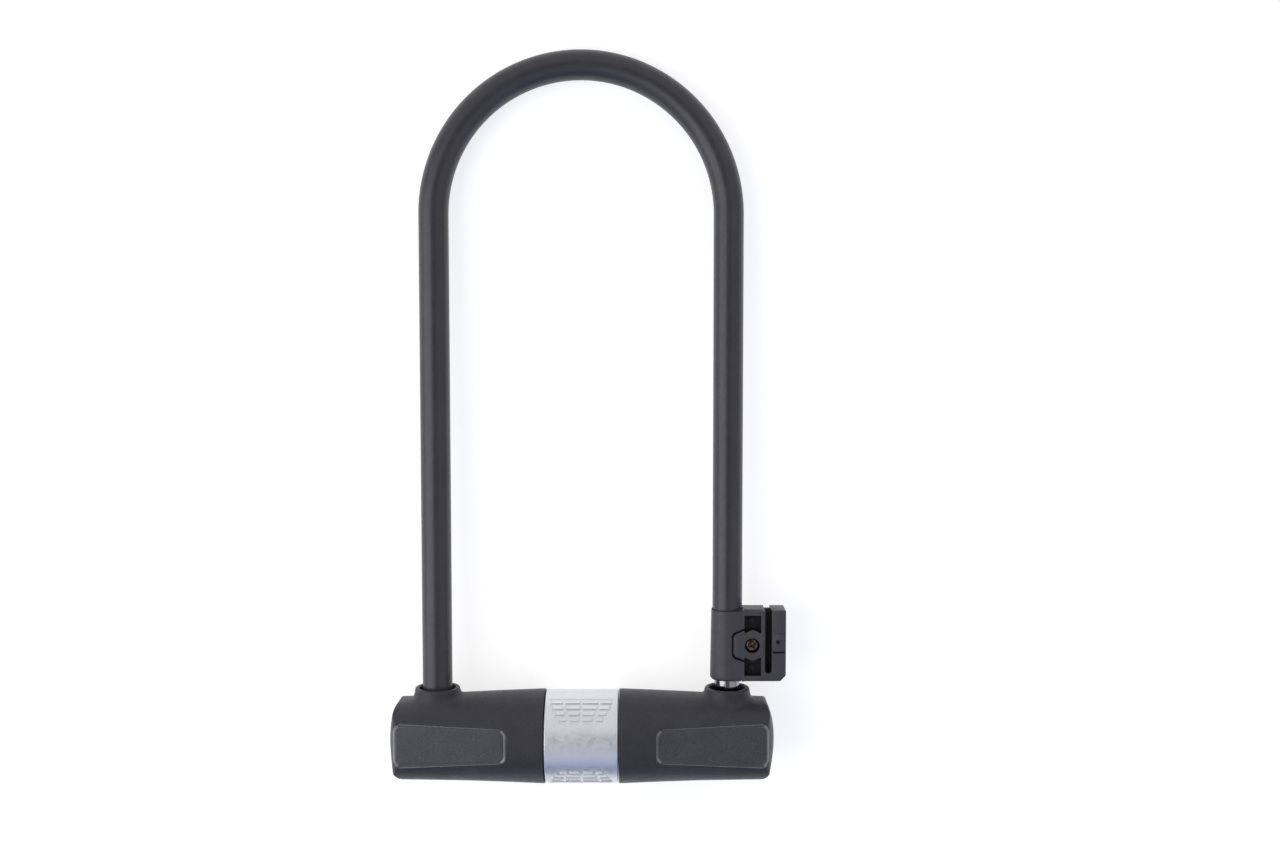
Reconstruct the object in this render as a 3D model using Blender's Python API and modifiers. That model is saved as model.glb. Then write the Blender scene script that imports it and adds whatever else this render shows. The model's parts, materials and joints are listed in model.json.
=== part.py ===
"""A bicycle U lock: a coated steel shackle, a covered crossbar with two bolts turned
by a key cylinder, a rotating dust band, and the carrier adapter clamped on one leg.

The lock frame has the crossbar along X, the shackle's legs along +Y and the front
towards +Z, with its origin at the middle of the crossbar. The lock lies on its back,
so that frame is tilted about X until the crossbar and the crown touch the ground.
Bolts and wafers are drawn back, so the shackle is free to slide out."""

import math

import bmesh
import bpy

# Shackle
LEG_X = 0.0805
STEEL_R = 0.0070
COAT_R = 0.0082
COAT_WALL = 0.0009
CROWN_Y = 0.2885
FOOT_Y = -0.0130
FOOT_CHAMFER = 0.0014
NOTCH_DEPTH_X = 0.0790
NOTCH_HALF = 0.0065
COAT_END_LEFT = 0.0220
COAT_END_RIGHT = 0.0665
SHACKLE_SIDES = 6
CROWN_STEPS = 22

# Crossbar tube and what closes it
TUBE_R = 0.0190
TUBE_BORE_R = 0.0160
TUBE_HALF = 0.0990
LEG_HOLE_R = 0.0076
END_PLUG_R = 0.0156
END_PLUG_SPAN = (0.0910, 0.0970)
GUIDE_SPANS = {"inner": (0.0300, 0.0360), "outer": (0.0600, 0.0660)}
GUIDE_BORE_R = 0.0059

# Covers: |x|, height above the axis, height below it, depth, exponent of the section
COVER_SECTIONS = (
    (0.0203, 0.0260, 0.0260, 0.0260, 2.00),
    (0.0410, 0.0252, 0.0251, 0.0251, 2.00),
    (0.0650, 0.0239, 0.0240, 0.0244, 2.15),
    (0.0920, 0.0213, 0.0231, 0.0237, 2.45),
    (0.1065, 0.0206, 0.0229, 0.0234, 2.50),
)
COVER_STATIONS = (
    0.0203, 0.0280, 0.0360, 0.0440, 0.0530, 0.0620, 0.0710, 0.0800, 0.0880,
    0.0930, 0.0960, 0.0985, 0.1005, 0.1022, 0.1036, 0.1044, 0.1047,
)
COVER_POINTS = 40

# Outer end of a cover: an edge radius that turns through most of a right angle, then a dome
END_TURN = math.radians(75)
END_ROUND_TOP = 0.0090
END_ROUND_BOTTOM = 0.0045
END_ROUND_FACE = 0.0120
DOME_X = COVER_STATIONS[-1]
DOME_RISE = 0.0018
DOME_SCALES = (0.92, 0.75, 0.45)
COVER_END = DOME_X + DOME_RISE * (1 - DOME_SCALES[-1] ** 2)
LEAST_SHARE = 0.01
COVER_BORE_R = 0.0193
COVER_BORE_END = 0.0993

# Flat panel let into the front and the back of each cover
PANEL_IN = (0.0414, 0.0233, 0.0096)
PANEL_OUT = (0.1010, 0.0208, 0.0123)
PANEL_CORNER = 0.0045
PANEL_REACH = 0.0130
PANEL_CUT = 0.0100

# Collars round the legs
COLLAR_BORE_R = 0.0098
COLLAR_FOOT_Y = 0.0140
COLLAR_PROFILE = (
    (0.0, 0.0277), (0.0114, 0.0277), (0.0122, 0.0273), (0.0126, 0.0263), (0.0129, 0.0232),
    (0.0138, 0.0208), (0.0153, 0.0190), (0.0153, COLLAR_FOOT_Y), (0.0, COLLAR_FOOT_Y),
)
SEAL_R = (0.0076, 0.0095)
SEAL_SPAN = (0.0196, 0.0214)

# Dust band and the carrier that it turns on
BAND_R = (0.0238, 0.0256)
BAND_HALF = 0.0200
BAND_WINDOW_R = 0.0085
CARRIER_R = (0.0193, 0.0234)
CARRIER_HALF = 0.0199
GRIP_R = (0.0250, 0.0261)
GRIP_ANGLES = (math.radians(34), math.radians(75))
GRIP_HALF_WIDTHS = (0.0122, 0.0168)
GRIP_ROWS = 4
DETENT_POCKET = ((0.0219, 0.0240), 0.0042, math.radians(26))
DETENT_SPRING = ((0.0222, 0.0228), 0.0035, math.radians(22))

# Key cylinder, along Y with its keyway facing -Y
HOUSING_R = 0.0110
HOUSING_SPAN = (-0.0230, -0.0060)
HOUSING_HOLE_R = 0.0115
PLUG_BORE_R = 0.0068
PLUG_SEAT_R = 0.0081
PLUG_SEAT_Y = -0.0201
PLUG_PROFILE = (
    (0.0, -0.0038), (0.0065, -0.0038), (0.0065, -0.0046), (0.0056, -0.0046), (0.0056, -0.0059),
    (0.0065, -0.0059), (0.0065, -0.0204), (0.0078, -0.0204), (0.0078, -0.0220), (0.0, -0.0220),
)
KEYWAY = (0.0026, 0.0084)
KEYWAY_END = -0.0068
TANG = (0.0018, 0.0070)
TANG_END = -0.0020
CLIP_R = (0.0059, 0.0078)
CLIP_SPAN = (-0.0056, -0.0049)
CLIP_GAP = 0.0070
WAFER_COUNT = 5
WAFER_FIRST_Y = -0.0184
WAFER_PITCH = 0.0026
WAFER_SIZE = (0.0056, 0.0010, 0.0110)
WAFER_WINDOW = (0.0034, 0.0068)
WAFER_SLOT = (0.0062, 0.0016)
WAFER_GROOVE_R = 0.0078
WAFER_GROOVE_SPAN = (-0.0196, -0.0068)
CROSS_PIN_R = 0.0015
CROSS_PIN_AT = (0.0112, -0.0130)
CROSS_PIN_HALF = 0.0122

# Cam and bolts: each pin follows a spiral slot, 6 mm further out per quarter turn
CAM_R = 0.0149
CAM_HALF = 0.0015
CAM_BOSS_R = 0.0056
CAM_BOSS_END = -0.0034
CAM_SOCKET = (0.0024, 0.0076)
CAM_SOCKET_TOP = -0.0017
PIN_R = 0.0017
PIN_SPAN = (-0.0012, 0.0045)
PIN_AT_REST = 0.0052
BOLT_TRAVEL = 0.0060
SLOT_HALF = 0.0021
BOLT_R = 0.0055
BOLT_SPAN = (0.0163, 0.0725)
TONGUE_SPAN = (0.0022, 0.0200)
TONGUE_Y = (0.0019, 0.0047)
TONGUE_HALF_Z = 0.0040
PIN_HOLE_R = 0.0020

# Carrier adapter on the right leg
ADAPTER_SPAN = (0.0326, 0.0720)
SLEEVE_R_TOP = 0.0090
SLEEVE_R_FOOT = 0.0095
SLEEVE_BORE_R = 0.0083
COAT_SEAT_R = 0.00855
COAT_SEAT_Y = 0.0660
LINER_R = (0.0073, 0.0079)
LINER_SPAN = (0.0340, 0.0655)
EAR_END_X = 0.0992
EAR_SPAN = (0.0342, 0.0700)
EAR_HALF_Z = 0.0040
CHEEK_END_X = 0.0878
CHEEK_HALF_Z = 0.0083
CLAMP_SPLIT = 0.0008
BLOCK_X = (0.0881, 0.1124)
BLOCK_HALF_Z = 0.0085
BLOCK_CHAMFER = 0.0030
BLOCK_BEVEL = 0.0008
GROOVE_X = (0.1006, 0.1043)
GROOVE_END_Y = 0.0369
WEB_HALF_Z = 0.0020
WINDOW_X = (0.0893, 0.0984)
WINDOW_UPPER = (0.0594, 0.0692)
WINDOW_LOWER = (0.0356, 0.0458)
WINDOW_PEAK = 0.0015
TONGUE_LEFT_X = 0.0827
TONGUE_MID_Y = 0.0526
TONGUE_SHOULDERS = ((0.0, 0.0047), (0.0015, 0.0067))
TONGUE_ROOT_HALF = 0.0088
TONGUE_TOP_Z = 0.0086
TONGUE_FLOOR_R = 0.0086
SCREW_AT = (0.0939, 0.0524)
SCREW_HEAD_R = 0.0036
SCREW_HEAD_Z = (0.0043, 0.0072)
SCREW_SHANK_R = 0.0022
SCREW_END_Z = -0.0078
SCREW_HOLE_R = 0.0041
SHANK_HOLE_R = 0.0026
NUT_R = 0.0040
NUT_POCKET_R = 0.0044
NUT_Z = (-0.0082, -0.0060)
NUT_POCKET_Z = -0.0057

CLEARANCE = 0.0003
WELD = 0.00001
OVERSHOOT = 0.0020
QUARTER = math.radians(90)

# How the lock lies: crossbar and crown both on the ground
CROWN_TOP = CROWN_Y + LEG_X
BAR_R = COVER_SECTIONS[0][3]
TILT = -math.asin((BAR_R - COAT_R) / CROWN_TOP)
SHIFT_X = -(BLOCK_X[1] - COVER_END) / 2
SHIFT_Y = -(CROWN_TOP * math.cos(TILT) + COAT_R - GRIP_R[1]) / 2


def clear_scene():
    for obj in list(bpy.data.objects):
        bpy.data.objects.remove(obj)


def collection(name):
    made = bpy.data.collections.new(name)
    bpy.context.scene.collection.children.link(made)
    return made


def material(name, colour, roughness, metallic=0.0):
    made = bpy.data.materials.new(name)
    made.use_nodes = True
    shader = made.node_tree.nodes["Principled BSDF"]
    shader.inputs["Base Color"].default_value = (*colour, 1.0)
    shader.inputs["Roughness"].default_value = roughness
    shader.inputs["Metallic"].default_value = metallic
    return made


clear_scene()
PARTS = collection("u_lock")
CUTTERS = collection("cutters")
LOCK_FRAME = bpy.data.objects.new("lock_frame", None)
PARTS.objects.link(LOCK_FRAME)
LOCK_FRAME.rotation_euler = (TILT, 0, 0)
LOCK_FRAME.location = (SHIFT_X, SHIFT_Y, BAR_R)

# The three ways in which a shape's own Z axis is laid
AXES = {"Z": (0, 0, 0), "X": (0, QUARTER, 0), "-X": (0, -QUARTER, 0), "Y": (-QUARTER, 0, 0)}
UPRIGHT = (QUARTER, 0, 0)


def add(name, mesh, finish, location=(0, 0, 0), rotation=(0, 0, 0)):
    """Places a mesh in the lock frame, as a part with its finish or, without one, as a cutter."""
    mesh.shade_smooth()
    mesh.set_sharp_from_angle(angle=math.radians(32))
    made = bpy.data.objects.new(name, mesh)
    made.location = location
    made.rotation_euler = rotation
    made.parent = LOCK_FRAME
    if finish:
        mesh.materials.append(finish)
        PARTS.objects.link(made)
    else:
        made.hide_render = True
        made.display_type = "WIRE"
        CUTTERS.objects.link(made)
    return made


def mesh_of(name, bm):
    mesh = bpy.data.meshes.new(name)
    bm.to_mesh(mesh)
    bm.free()
    return mesh


def cylinder(name, finish, radius, span, axis="Z", at=(0, 0, 0), segments=32, end_radius=None):
    """A cylinder or cone between two heights on its axis, which passes through a point."""
    bm = bmesh.new()
    bmesh.ops.create_cone(
        bm,
        cap_ends=True,
        segments=segments,
        radius1=radius,
        radius2=radius if end_radius is None else end_radius,
        depth=span[1] - span[0],
    )
    bmesh.ops.translate(bm, verts=bm.verts, vec=(0, 0, (span[0] + span[1]) / 2))
    return add(name, mesh_of(name, bm), finish, at, AXES[axis])


def box(name, finish, low, high):
    bm = bmesh.new()
    bmesh.ops.create_cube(bm, size=1)
    bmesh.ops.scale(bm, verts=bm.verts, vec=[b - a for a, b in zip(low, high)])
    middle = [(a + b) / 2 for a, b in zip(low, high)]
    return add(name, mesh_of(name, bm), finish, middle)


def turned(name, finish, profile, axis, at=(0, 0, 0), steps=32, closed=False):
    """A profile of (radius, height) points, outer side downwards, turned about an axis."""
    mesh = bpy.data.meshes.new(name)
    count = len(profile)
    edges = [(i, i + 1) for i in range(count - 1)]
    if closed:
        edges.append((count - 1, 0))
    mesh.from_pydata([(radius, 0, height) for radius, height in profile], edges, [])
    made = add(name, mesh, finish, at, AXES[axis])
    screw = made.modifiers.new("turn", "SCREW")
    screw.axis = "Z"
    screw.steps = steps
    screw.render_steps = steps
    screw.use_merge_vertices = True
    screw.merge_threshold = WELD
    return made


def ring(name, finish, radii, span, axis, at=(0, 0, 0), steps=32):
    inner, outer = radii
    low, high = span
    profile = ((outer, high), (outer, low), (inner, low), (inner, high))
    return turned(name, finish, profile, axis, at, steps, closed=True)


def mesh_from_curve(name, curve):
    """The mesh that a curve makes, with its caps welded and its flat faces whole."""
    guide = bpy.data.objects.new(name, curve)
    CUTTERS.objects.link(guide)
    graph = bpy.context.evaluated_depsgraph_get()
    mesh = bpy.data.meshes.new_from_object(guide.evaluated_get(graph))
    bpy.data.objects.remove(guide)
    bm = bmesh.new()
    bm.from_mesh(mesh)
    bmesh.ops.remove_doubles(bm, verts=bm.verts, dist=WELD)
    bmesh.ops.dissolve_limit(bm, angle_limit=math.radians(0.5), verts=bm.verts, edges=bm.edges)
    bmesh.ops.recalc_face_normals(bm, faces=bm.faces)
    bm.to_mesh(mesh)
    bm.free()
    return mesh


def plate(name, finish, outline, thickness, location=(0, 0, 0), rotation=(0, 0, 0)):
    """A flat outline of (x, y) points, extruded equally to both sides of its plane."""
    curve = bpy.data.curves.new(name, "CURVE")
    curve.dimensions = "2D"
    curve.fill_mode = "BOTH"
    curve.extrude = thickness / 2
    spline = curve.splines.new("POLY")
    spline.points.add(len(outline) - 1)
    for point, (x, y) in zip(spline.points, outline):
        point.co = (x, y, 0, 1)
    spline.use_cyclic_u = True
    return add(name, mesh_from_curve(name, curve), finish, location, rotation)


def tube_along(name, path, radius, capped, narrow_ends=1.0):
    """The mesh of a round bar or, uncapped, of an open skin along (x, y) points."""
    curve = bpy.data.curves.new(name, "CURVE")
    curve.dimensions = "3D"
    curve.bevel_depth = radius
    curve.bevel_resolution = SHACKLE_SIDES
    curve.use_fill_caps = capped
    spline = curve.splines.new("POLY")
    spline.points.add(len(path) - 1)
    for point, (x, y) in zip(spline.points, path):
        point.co = (x, y, 0, 1)
    spline.points[0].radius = narrow_ends
    spline.points[-1].radius = narrow_ends
    return mesh_from_curve(name, curve)


def loft(rings):
    """A closed mesh through rings of equal count, with a flat face at each end."""
    bm = bmesh.new()
    rows = [[bm.verts.new(point) for point in points] for points in rings]
    for row, following in zip(rows, rows[1:]):
        for i in range(len(row)):
            j = (i + 1) % len(row)
            bm.faces.new((row[i], row[j], following[j], following[i]))
    bm.faces.new(rows[0])
    bm.faces.new(rows[-1])
    bmesh.ops.recalc_face_normals(bm, faces=bm.faces)
    return bm


def boolean(target, tool, operation="DIFFERENCE"):
    step = target.modifiers.new(tool.name, "BOOLEAN")
    step.operation = operation
    step.object = tool


def arc(centre, radius, start, end, steps):
    """Points on an arc, with angles in radians."""
    angles = [start + (end - start) * i / steps for i in range(steps + 1)]
    return [(centre[0] + radius * math.cos(a), centre[1] + radius * math.sin(a)) for a in angles]


def between(rows, x):
    """The values beside x in rows that start with x, in a straight line between two rows."""
    for low, high in zip(rows, rows[1:]):
        if x <= high[0]:
            share = (x - low[0]) / (high[0] - low[0])
            return [a + (b - a) * share for a, b in zip(low[1:], high[1:])]
    return list(rows[-1][1:])


def crown(radius_steps):
    return arc((0, CROWN_Y), LEG_X, math.pi, 0, radius_steps)


def shackle_steel(finish):
    left = [(-LEG_X, FOOT_Y), (-LEG_X, FOOT_Y + FOOT_CHAMFER)]
    right = [(LEG_X, FOOT_Y + FOOT_CHAMFER), (LEG_X, FOOT_Y)]
    narrow = 1 - FOOT_CHAMFER / STEEL_R
    mesh = tube_along("shackle_steel", left + crown(CROWN_STEPS) + right, STEEL_R, True, narrow)
    steel = add("shackle_steel", mesh, finish)
    for side, name in ((-1, "left"), (1, "right")):
        inner = side * (LEG_X - STEEL_R - OVERSHOOT)
        deep = side * NOTCH_DEPTH_X
        low = (min(inner, deep), -NOTCH_HALF, -COAT_R)
        high = (max(inner, deep), NOTCH_HALF, COAT_R)
        boolean(steel, box(f"notch_{name}", None, low, high))


def shackle_coat(finish):
    path = [(-LEG_X, COAT_END_LEFT)] + crown(CROWN_STEPS) + [(LEG_X, COAT_END_RIGHT)]
    coat = add("shackle_coat", tube_along("shackle_coat", path, COAT_R, False), finish)
    wall = coat.modifiers.new("wall", "SOLIDIFY")
    wall.thickness = COAT_WALL
    wall.offset = -1
    wall.use_even_offset = True


def crossbar_tube(finish):
    span = (-TUBE_HALF, TUBE_HALF)
    tube = ring("crossbar_tube", finish, (TUBE_BORE_R, TUBE_R), span, "X", steps=40)
    for side, name in ((-1, "left"), (1, "right")):
        at = (side * LEG_X, 0, 0)
        span = (TUBE_BORE_R / 2, TUBE_R + OVERSHOOT)
        boolean(tube, cylinder(f"leg_hole_{name}", None, LEG_HOLE_R, span, "Y", at, 24))
    span = (-TUBE_R - OVERSHOOT, -TUBE_BORE_R / 2)
    boolean(tube, cylinder("housing_hole", None, HOUSING_HOLE_R, span, "Y"))
    boolean(tube, cross_pin_hole("tube_pin_hole"))


def cross_pin_hole(name):
    at = (*CROSS_PIN_AT, 0)
    span = (-TUBE_R - OVERSHOOT, TUBE_R + OVERSHOOT)
    return cylinder(name, None, CROSS_PIN_R + CLEARANCE, span, "Z", at, 16)


def tube_inserts(plug_finish, guide_finish):
    for axis, name in (("-X", "left"), ("X", "right")):
        cylinder(f"end_plug_{name}", plug_finish, END_PLUG_R, END_PLUG_SPAN, axis)
        for place, span in GUIDE_SPANS.items():
            radii = (GUIDE_BORE_R, END_PLUG_R)
            ring(f"bolt_guide_{place}_{name}", guide_finish, radii, span, axis, steps=28)


def rounded_limit(x, size, radius):
    """What is left at x of half the section's height or depth, with an end edge of this radius."""
    shoulder = DOME_X - radius * math.sin(END_TURN)
    reach = max(0.0, x - shoulder)
    return size - radius + math.sqrt(radius**2 - reach**2)


def cover_ring(side, x, scale=1.0):
    """One section of a cover: a superellipse, flatter above the axis than below it, which the
    rounded outer end cuts off in height and in depth."""
    above, below, depth, exponent = between(COVER_SECTIONS, x)
    at = side * (x + DOME_RISE * (1 - scale**2))
    points = []
    for i in range(COVER_POINTS):
        angle = 2 * math.pi * i / COVER_POINTS
        up, across = math.sin(angle), math.cos(angle)
        height, edge = (above, END_ROUND_TOP) if up > 0 else (below, END_ROUND_BOTTOM)
        radius = (abs(up / height) ** exponent + abs(across / depth) ** exponent) ** (-1 / exponent)
        for limit, share in (
            (rounded_limit(x, depth, END_ROUND_FACE), abs(across)),
            (rounded_limit(x, height, edge), abs(up)),
        ):
            radius = min(radius, limit / max(share, LEAST_SHARE))
        points.append((at, radius * up * scale, radius * across * scale))
    return points


def panel_outline(side):
    """The outline of a cover's panel, drawn on past the cover's outer end."""
    inner_x, _, inner_half = PANEL_IN
    outer_x, _, outer_half = PANEL_OUT
    widening = (outer_half - inner_half) / (outer_x - inner_x)
    end_x = outer_x + PANEL_REACH
    end_half = outer_half + widening * PANEL_REACH
    corner = (inner_x + PANEL_CORNER, inner_half - PANEL_CORNER)
    top = arc(corner, PANEL_CORNER, math.pi, QUARTER, 5)
    upper = top + [(end_x, end_half)]
    lower = [(x, -y) for x, y in reversed(upper)]
    return [(side * x, y) for x, y in upper + lower]


def panel_cutter(name, side, face):
    """Cuts the panel's plane, which falls towards the outer end. face is 1 at the front."""
    slope = math.atan((PANEL_IN[1] - PANEL_OUT[1]) / (PANEL_OUT[0] - PANEL_IN[0]))
    plane_at_middle = PANEL_IN[1] + PANEL_IN[0] * math.tan(slope)
    middle = plane_at_middle + PANEL_CUT / 2 / math.cos(slope)
    rotation = (0, side * face * slope, 0)
    return plate(name, None, panel_outline(side), PANEL_CUT, (0, 0, face * middle), rotation)


def cover(name, side, finish):
    rings = [cover_ring(side, x) for x in COVER_STATIONS]
    rings += [cover_ring(side, DOME_X, scale) for scale in DOME_SCALES]
    shell = add(f"cover_{name}", mesh_of(f"cover_{name}", loft(rings)), finish)
    at = (side * LEG_X, 0, 0)
    boolean(shell, turned(f"collar_{name}", None, COLLAR_PROFILE, "Y", at), "UNION")
    boolean(shell, panel_cutter(f"panel_front_{name}", side, 1))
    boolean(shell, panel_cutter(f"panel_back_{name}", side, -1))
    axis = "X" if side > 0 else "-X"
    bore_span = (COVER_STATIONS[0] - OVERSHOOT, COVER_BORE_END)
    boolean(shell, cylinder(f"cover_bore_{name}", None, COVER_BORE_R, bore_span, axis, segments=40))
    hole_span = (COLLAR_FOOT_Y, COLLAR_PROFILE[0][1] + OVERSHOOT)
    boolean(shell, cylinder(f"collar_bore_{name}", None, COLLAR_BORE_R, hole_span, "Y", at))


def leg_seals(finish):
    for side, name in ((-1, "left"), (1, "right")):
        ring(f"leg_seal_{name}", finish, SEAL_R, SEAL_SPAN, "Y", (side * LEG_X, 0, 0), 24)


def band_section(x_half, radii, angle):
    """The four corners of a strip's section, angle round X from the front towards the shackle."""
    points = []
    for x, radius in ((-x_half, radii[0]), (x_half, radii[0]), (x_half, radii[1]), (-x_half, radii[1])):
        points.append((x, radius * math.sin(angle), radius * math.cos(angle)))
    return points


def strip(name, finish, radii, half_width, half_angle, steps=6):
    """A curved strip across the front of the crossbar."""
    angles = [half_angle * (2 * i / steps - 1) for i in range(steps + 1)]
    rings = [band_section(half_width, radii, angle) for angle in angles]
    return add(name, mesh_of(name, loft(rings)), finish)


def grip_row(index, side):
    start, end = GRIP_ANGLES
    pitch = (end - start) / GRIP_ROWS
    low = start + pitch * (index + 0.12)
    high = start + pitch * (index + 0.88)
    share = index / (GRIP_ROWS - 1)
    half = GRIP_HALF_WIDTHS[0] + (GRIP_HALF_WIDTHS[1] - GRIP_HALF_WIDTHS[0]) * share
    name = f"grip_{'upper' if side > 0 else 'lower'}_{index}"
    rings = [band_section(half, GRIP_R, side * angle) for angle in (low, (low + high) / 2, high)]
    return add(name, mesh_of(name, loft(rings)), None)


def dust_band(finish):
    span = (-BAND_HALF, BAND_HALF)
    band = ring("dust_band", finish, BAND_R, span, "X", steps=48)
    for index in range(GRIP_ROWS):
        boolean(band, grip_row(index, 1), "UNION")
        boolean(band, grip_row(index, -1), "UNION")
    window_span = (-BAND_R[1] - OVERSHOOT, -BAND_R[0] + 2 * OVERSHOOT)
    boolean(band, cylinder("band_window", None, BAND_WINDOW_R, window_span, "Z"))


def band_carrier(finish, spring_finish):
    span = (-CARRIER_HALF, CARRIER_HALF)
    carrier = ring("band_carrier", finish, CARRIER_R, span, "X", steps=40)
    hole_span = (-CARRIER_R[1] - OVERSHOOT, -CARRIER_R[0] + 2 * OVERSHOOT)
    boolean(carrier, cylinder("carrier_hole", None, HOUSING_HOLE_R, hole_span, "Y"))
    boolean(carrier, strip("detent_pocket", None, *DETENT_POCKET))
    strip("band_detent_spring", spring_finish, *DETENT_SPRING)


def cylinder_housing(finish):
    housing = cylinder("cylinder_housing", finish, HOUSING_R, HOUSING_SPAN, "Y")
    low, high = HOUSING_SPAN
    face_span = (-CARRIER_HALF, CARRIER_HALF)
    face = cylinder("housing_face", None, CARRIER_R[1], face_span, "X", segments=40)
    boolean(housing, face, "INTERSECT")
    bore = cylinder("plug_bore", None, PLUG_BORE_R, (low - OVERSHOOT, high + OVERSHOOT), "Y")
    boolean(housing, bore)
    seat = cylinder("plug_seat", None, PLUG_SEAT_R, (low - OVERSHOOT, PLUG_SEAT_Y), "Y")
    boolean(housing, seat)
    half = WAFER_SLOT[0] / 2
    near, far = WAFER_GROOVE_SPAN
    up = (half, far, WAFER_GROOVE_R)
    boolean(housing, box("wafer_groove_up", None, (-half, near, -WAFER_GROOVE_R), up))
    across = (WAFER_GROOVE_R, far, half)
    boolean(housing, box("wafer_groove_across", None, (-WAFER_GROOVE_R, near, -half), across))
    boolean(housing, cross_pin_hole("housing_pin_groove"))


def cylinder_pin(finish):
    at = (*CROSS_PIN_AT, 0)
    cylinder("cylinder_pin", finish, CROSS_PIN_R, (-CROSS_PIN_HALF, CROSS_PIN_HALF), "Z", at, 16)


def wafer_y(index):
    return WAFER_FIRST_Y + WAFER_PITCH * index


def cylinder_plug(finish):
    plug = turned("cylinder_plug", finish, PLUG_PROFILE, "Y")
    root_y = PLUG_PROFILE[0][1]
    tang_low = (-TANG[0] / 2, root_y - CLEARANCE, -TANG[1] / 2)
    tang_high = (TANG[0] / 2, TANG_END, TANG[1] / 2)
    boolean(plug, box("plug_tang", None, tang_low, tang_high), "UNION")
    key_low = (-KEYWAY[0] / 2, PLUG_PROFILE[-1][1] - OVERSHOOT, -KEYWAY[1] / 2)
    boolean(plug, box("keyway", None, key_low, (KEYWAY[0] / 2, KEYWAY_END, KEYWAY[1] / 2)))
    half_x, half_y = WAFER_SLOT[0] / 2, WAFER_SLOT[1] / 2
    for index in range(WAFER_COUNT):
        y = wafer_y(index)
        low = (-half_x, y - half_y, -PLUG_SEAT_R)
        boolean(plug, box(f"wafer_slot_{index + 1}", None, low, (half_x, y + half_y, PLUG_SEAT_R)))


def wafers(finish):
    half_x, half_y, half_z = (size / 2 for size in WAFER_SIZE)
    window_x, window_z = (size / 2 for size in WAFER_WINDOW)
    for index in range(WAFER_COUNT):
        y = wafer_y(index)
        low, high = (-half_x, y - half_y, -half_z), (half_x, y + half_y, half_z)
        wafer = box(f"wafer_{index + 1}", finish, low, high)
        low = (-window_x, y - WAFER_SLOT[1], -window_z)
        high = (window_x, y + WAFER_SLOT[1], window_z)
        boolean(wafer, box(f"wafer_window_{index + 1}", None, low, high))


def plug_clip(finish):
    clip = ring("plug_clip", finish, CLIP_R, CLIP_SPAN, "Y", steps=24)
    low = (-CLIP_GAP / 2, CLIP_SPAN[0] - OVERSHOOT, 0)
    high = (CLIP_GAP / 2, CLIP_SPAN[1] + OVERSHOOT, CLIP_R[1] + OVERSHOOT)
    boolean(clip, box("clip_gap", None, low, high))


def spiral(offset, side, steps=14):
    """One flank of a cam slot: the spiral of the pin's centre, set off at right angles."""
    points = []
    per_radian = BOLT_TRAVEL / QUARTER
    for i in range(steps + 1):
        angle = QUARTER * i / steps
        radius = PIN_AT_REST + per_radian * angle
        along_x = per_radian * math.cos(angle) - radius * math.sin(angle)
        along_z = per_radian * math.sin(angle) + radius * math.cos(angle)
        length = math.hypot(along_x, along_z)
        x = radius * math.cos(angle) + offset * along_z / length
        z = radius * math.sin(angle) - offset * along_x / length
        points.append((side * x, side * z))
    return points


def slot_outline(side):
    """A cam slot with round ends, about the path that a bolt pin takes in the cam."""
    per_radian = BOLT_TRAVEL / QUARTER
    start_turn = math.atan2(PIN_AT_REST, per_radian)
    end_turn = QUARTER + math.atan2(PIN_AT_REST + BOLT_TRAVEL, per_radian)
    start = arc((PIN_AT_REST, 0), SLOT_HALF, start_turn + QUARTER, start_turn + 3 * QUARTER, 6)
    far = (0, PIN_AT_REST + BOLT_TRAVEL)
    end = arc(far, SLOT_HALF, end_turn - QUARTER, end_turn + QUARTER, 6)
    ends = [[(side * x, side * z) for x, z in points] for points in (start, end)]
    outer = spiral(SLOT_HALF, side)[1:-1]
    inner = list(reversed(spiral(-SLOT_HALF, side)[1:-1]))
    return ends[0] + outer + ends[1] + inner


def cam_disc(finish):
    cam = cylinder("cam_disc", finish, CAM_R, (-CAM_HALF, CAM_HALF), "Y", segments=40)
    for side, name in ((1, "right"), (-1, "left")):
        thickness = 2 * CAM_HALF + OVERSHOOT
        boolean(cam, plate(f"cam_slot_{name}", None, slot_outline(side), thickness, rotation=UPRIGHT))
    boss_span = (CAM_BOSS_END, -CAM_HALF + CLEARANCE)
    boolean(cam, cylinder("cam_boss", None, CAM_BOSS_R, boss_span, "Y", segments=24), "UNION")
    low = (-CAM_SOCKET[0] / 2, CAM_BOSS_END - OVERSHOOT, -CAM_SOCKET[1] / 2)
    boolean(cam, box("cam_socket", None, low, (CAM_SOCKET[0] / 2, CAM_SOCKET_TOP, CAM_SOCKET[1] / 2)))


def bolts(finish, pin_finish):
    for side, axis, name in ((-1, "-X", "left"), (1, "X", "right")):
        bolt = cylinder(f"bolt_{name}", finish, BOLT_R, BOLT_SPAN, axis, segments=24)
        ends = sorted(side * x for x in TONGUE_SPAN)
        low = (ends[0], TONGUE_Y[0], -TONGUE_HALF_Z)
        boolean(bolt, box(f"bolt_tongue_{name}", None, low, (ends[1], TONGUE_Y[1], TONGUE_HALF_Z)), "UNION")
        at = (side * PIN_AT_REST, 0, 0)
        hole_span = (0, TONGUE_Y[1] + OVERSHOOT)
        boolean(bolt, cylinder(f"pin_hole_{name}", None, PIN_HOLE_R, hole_span, "Y", at, 16))
        cylinder(f"bolt_pin_{name}", pin_finish, PIN_R, PIN_SPAN, "Y", at, 16)


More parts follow.
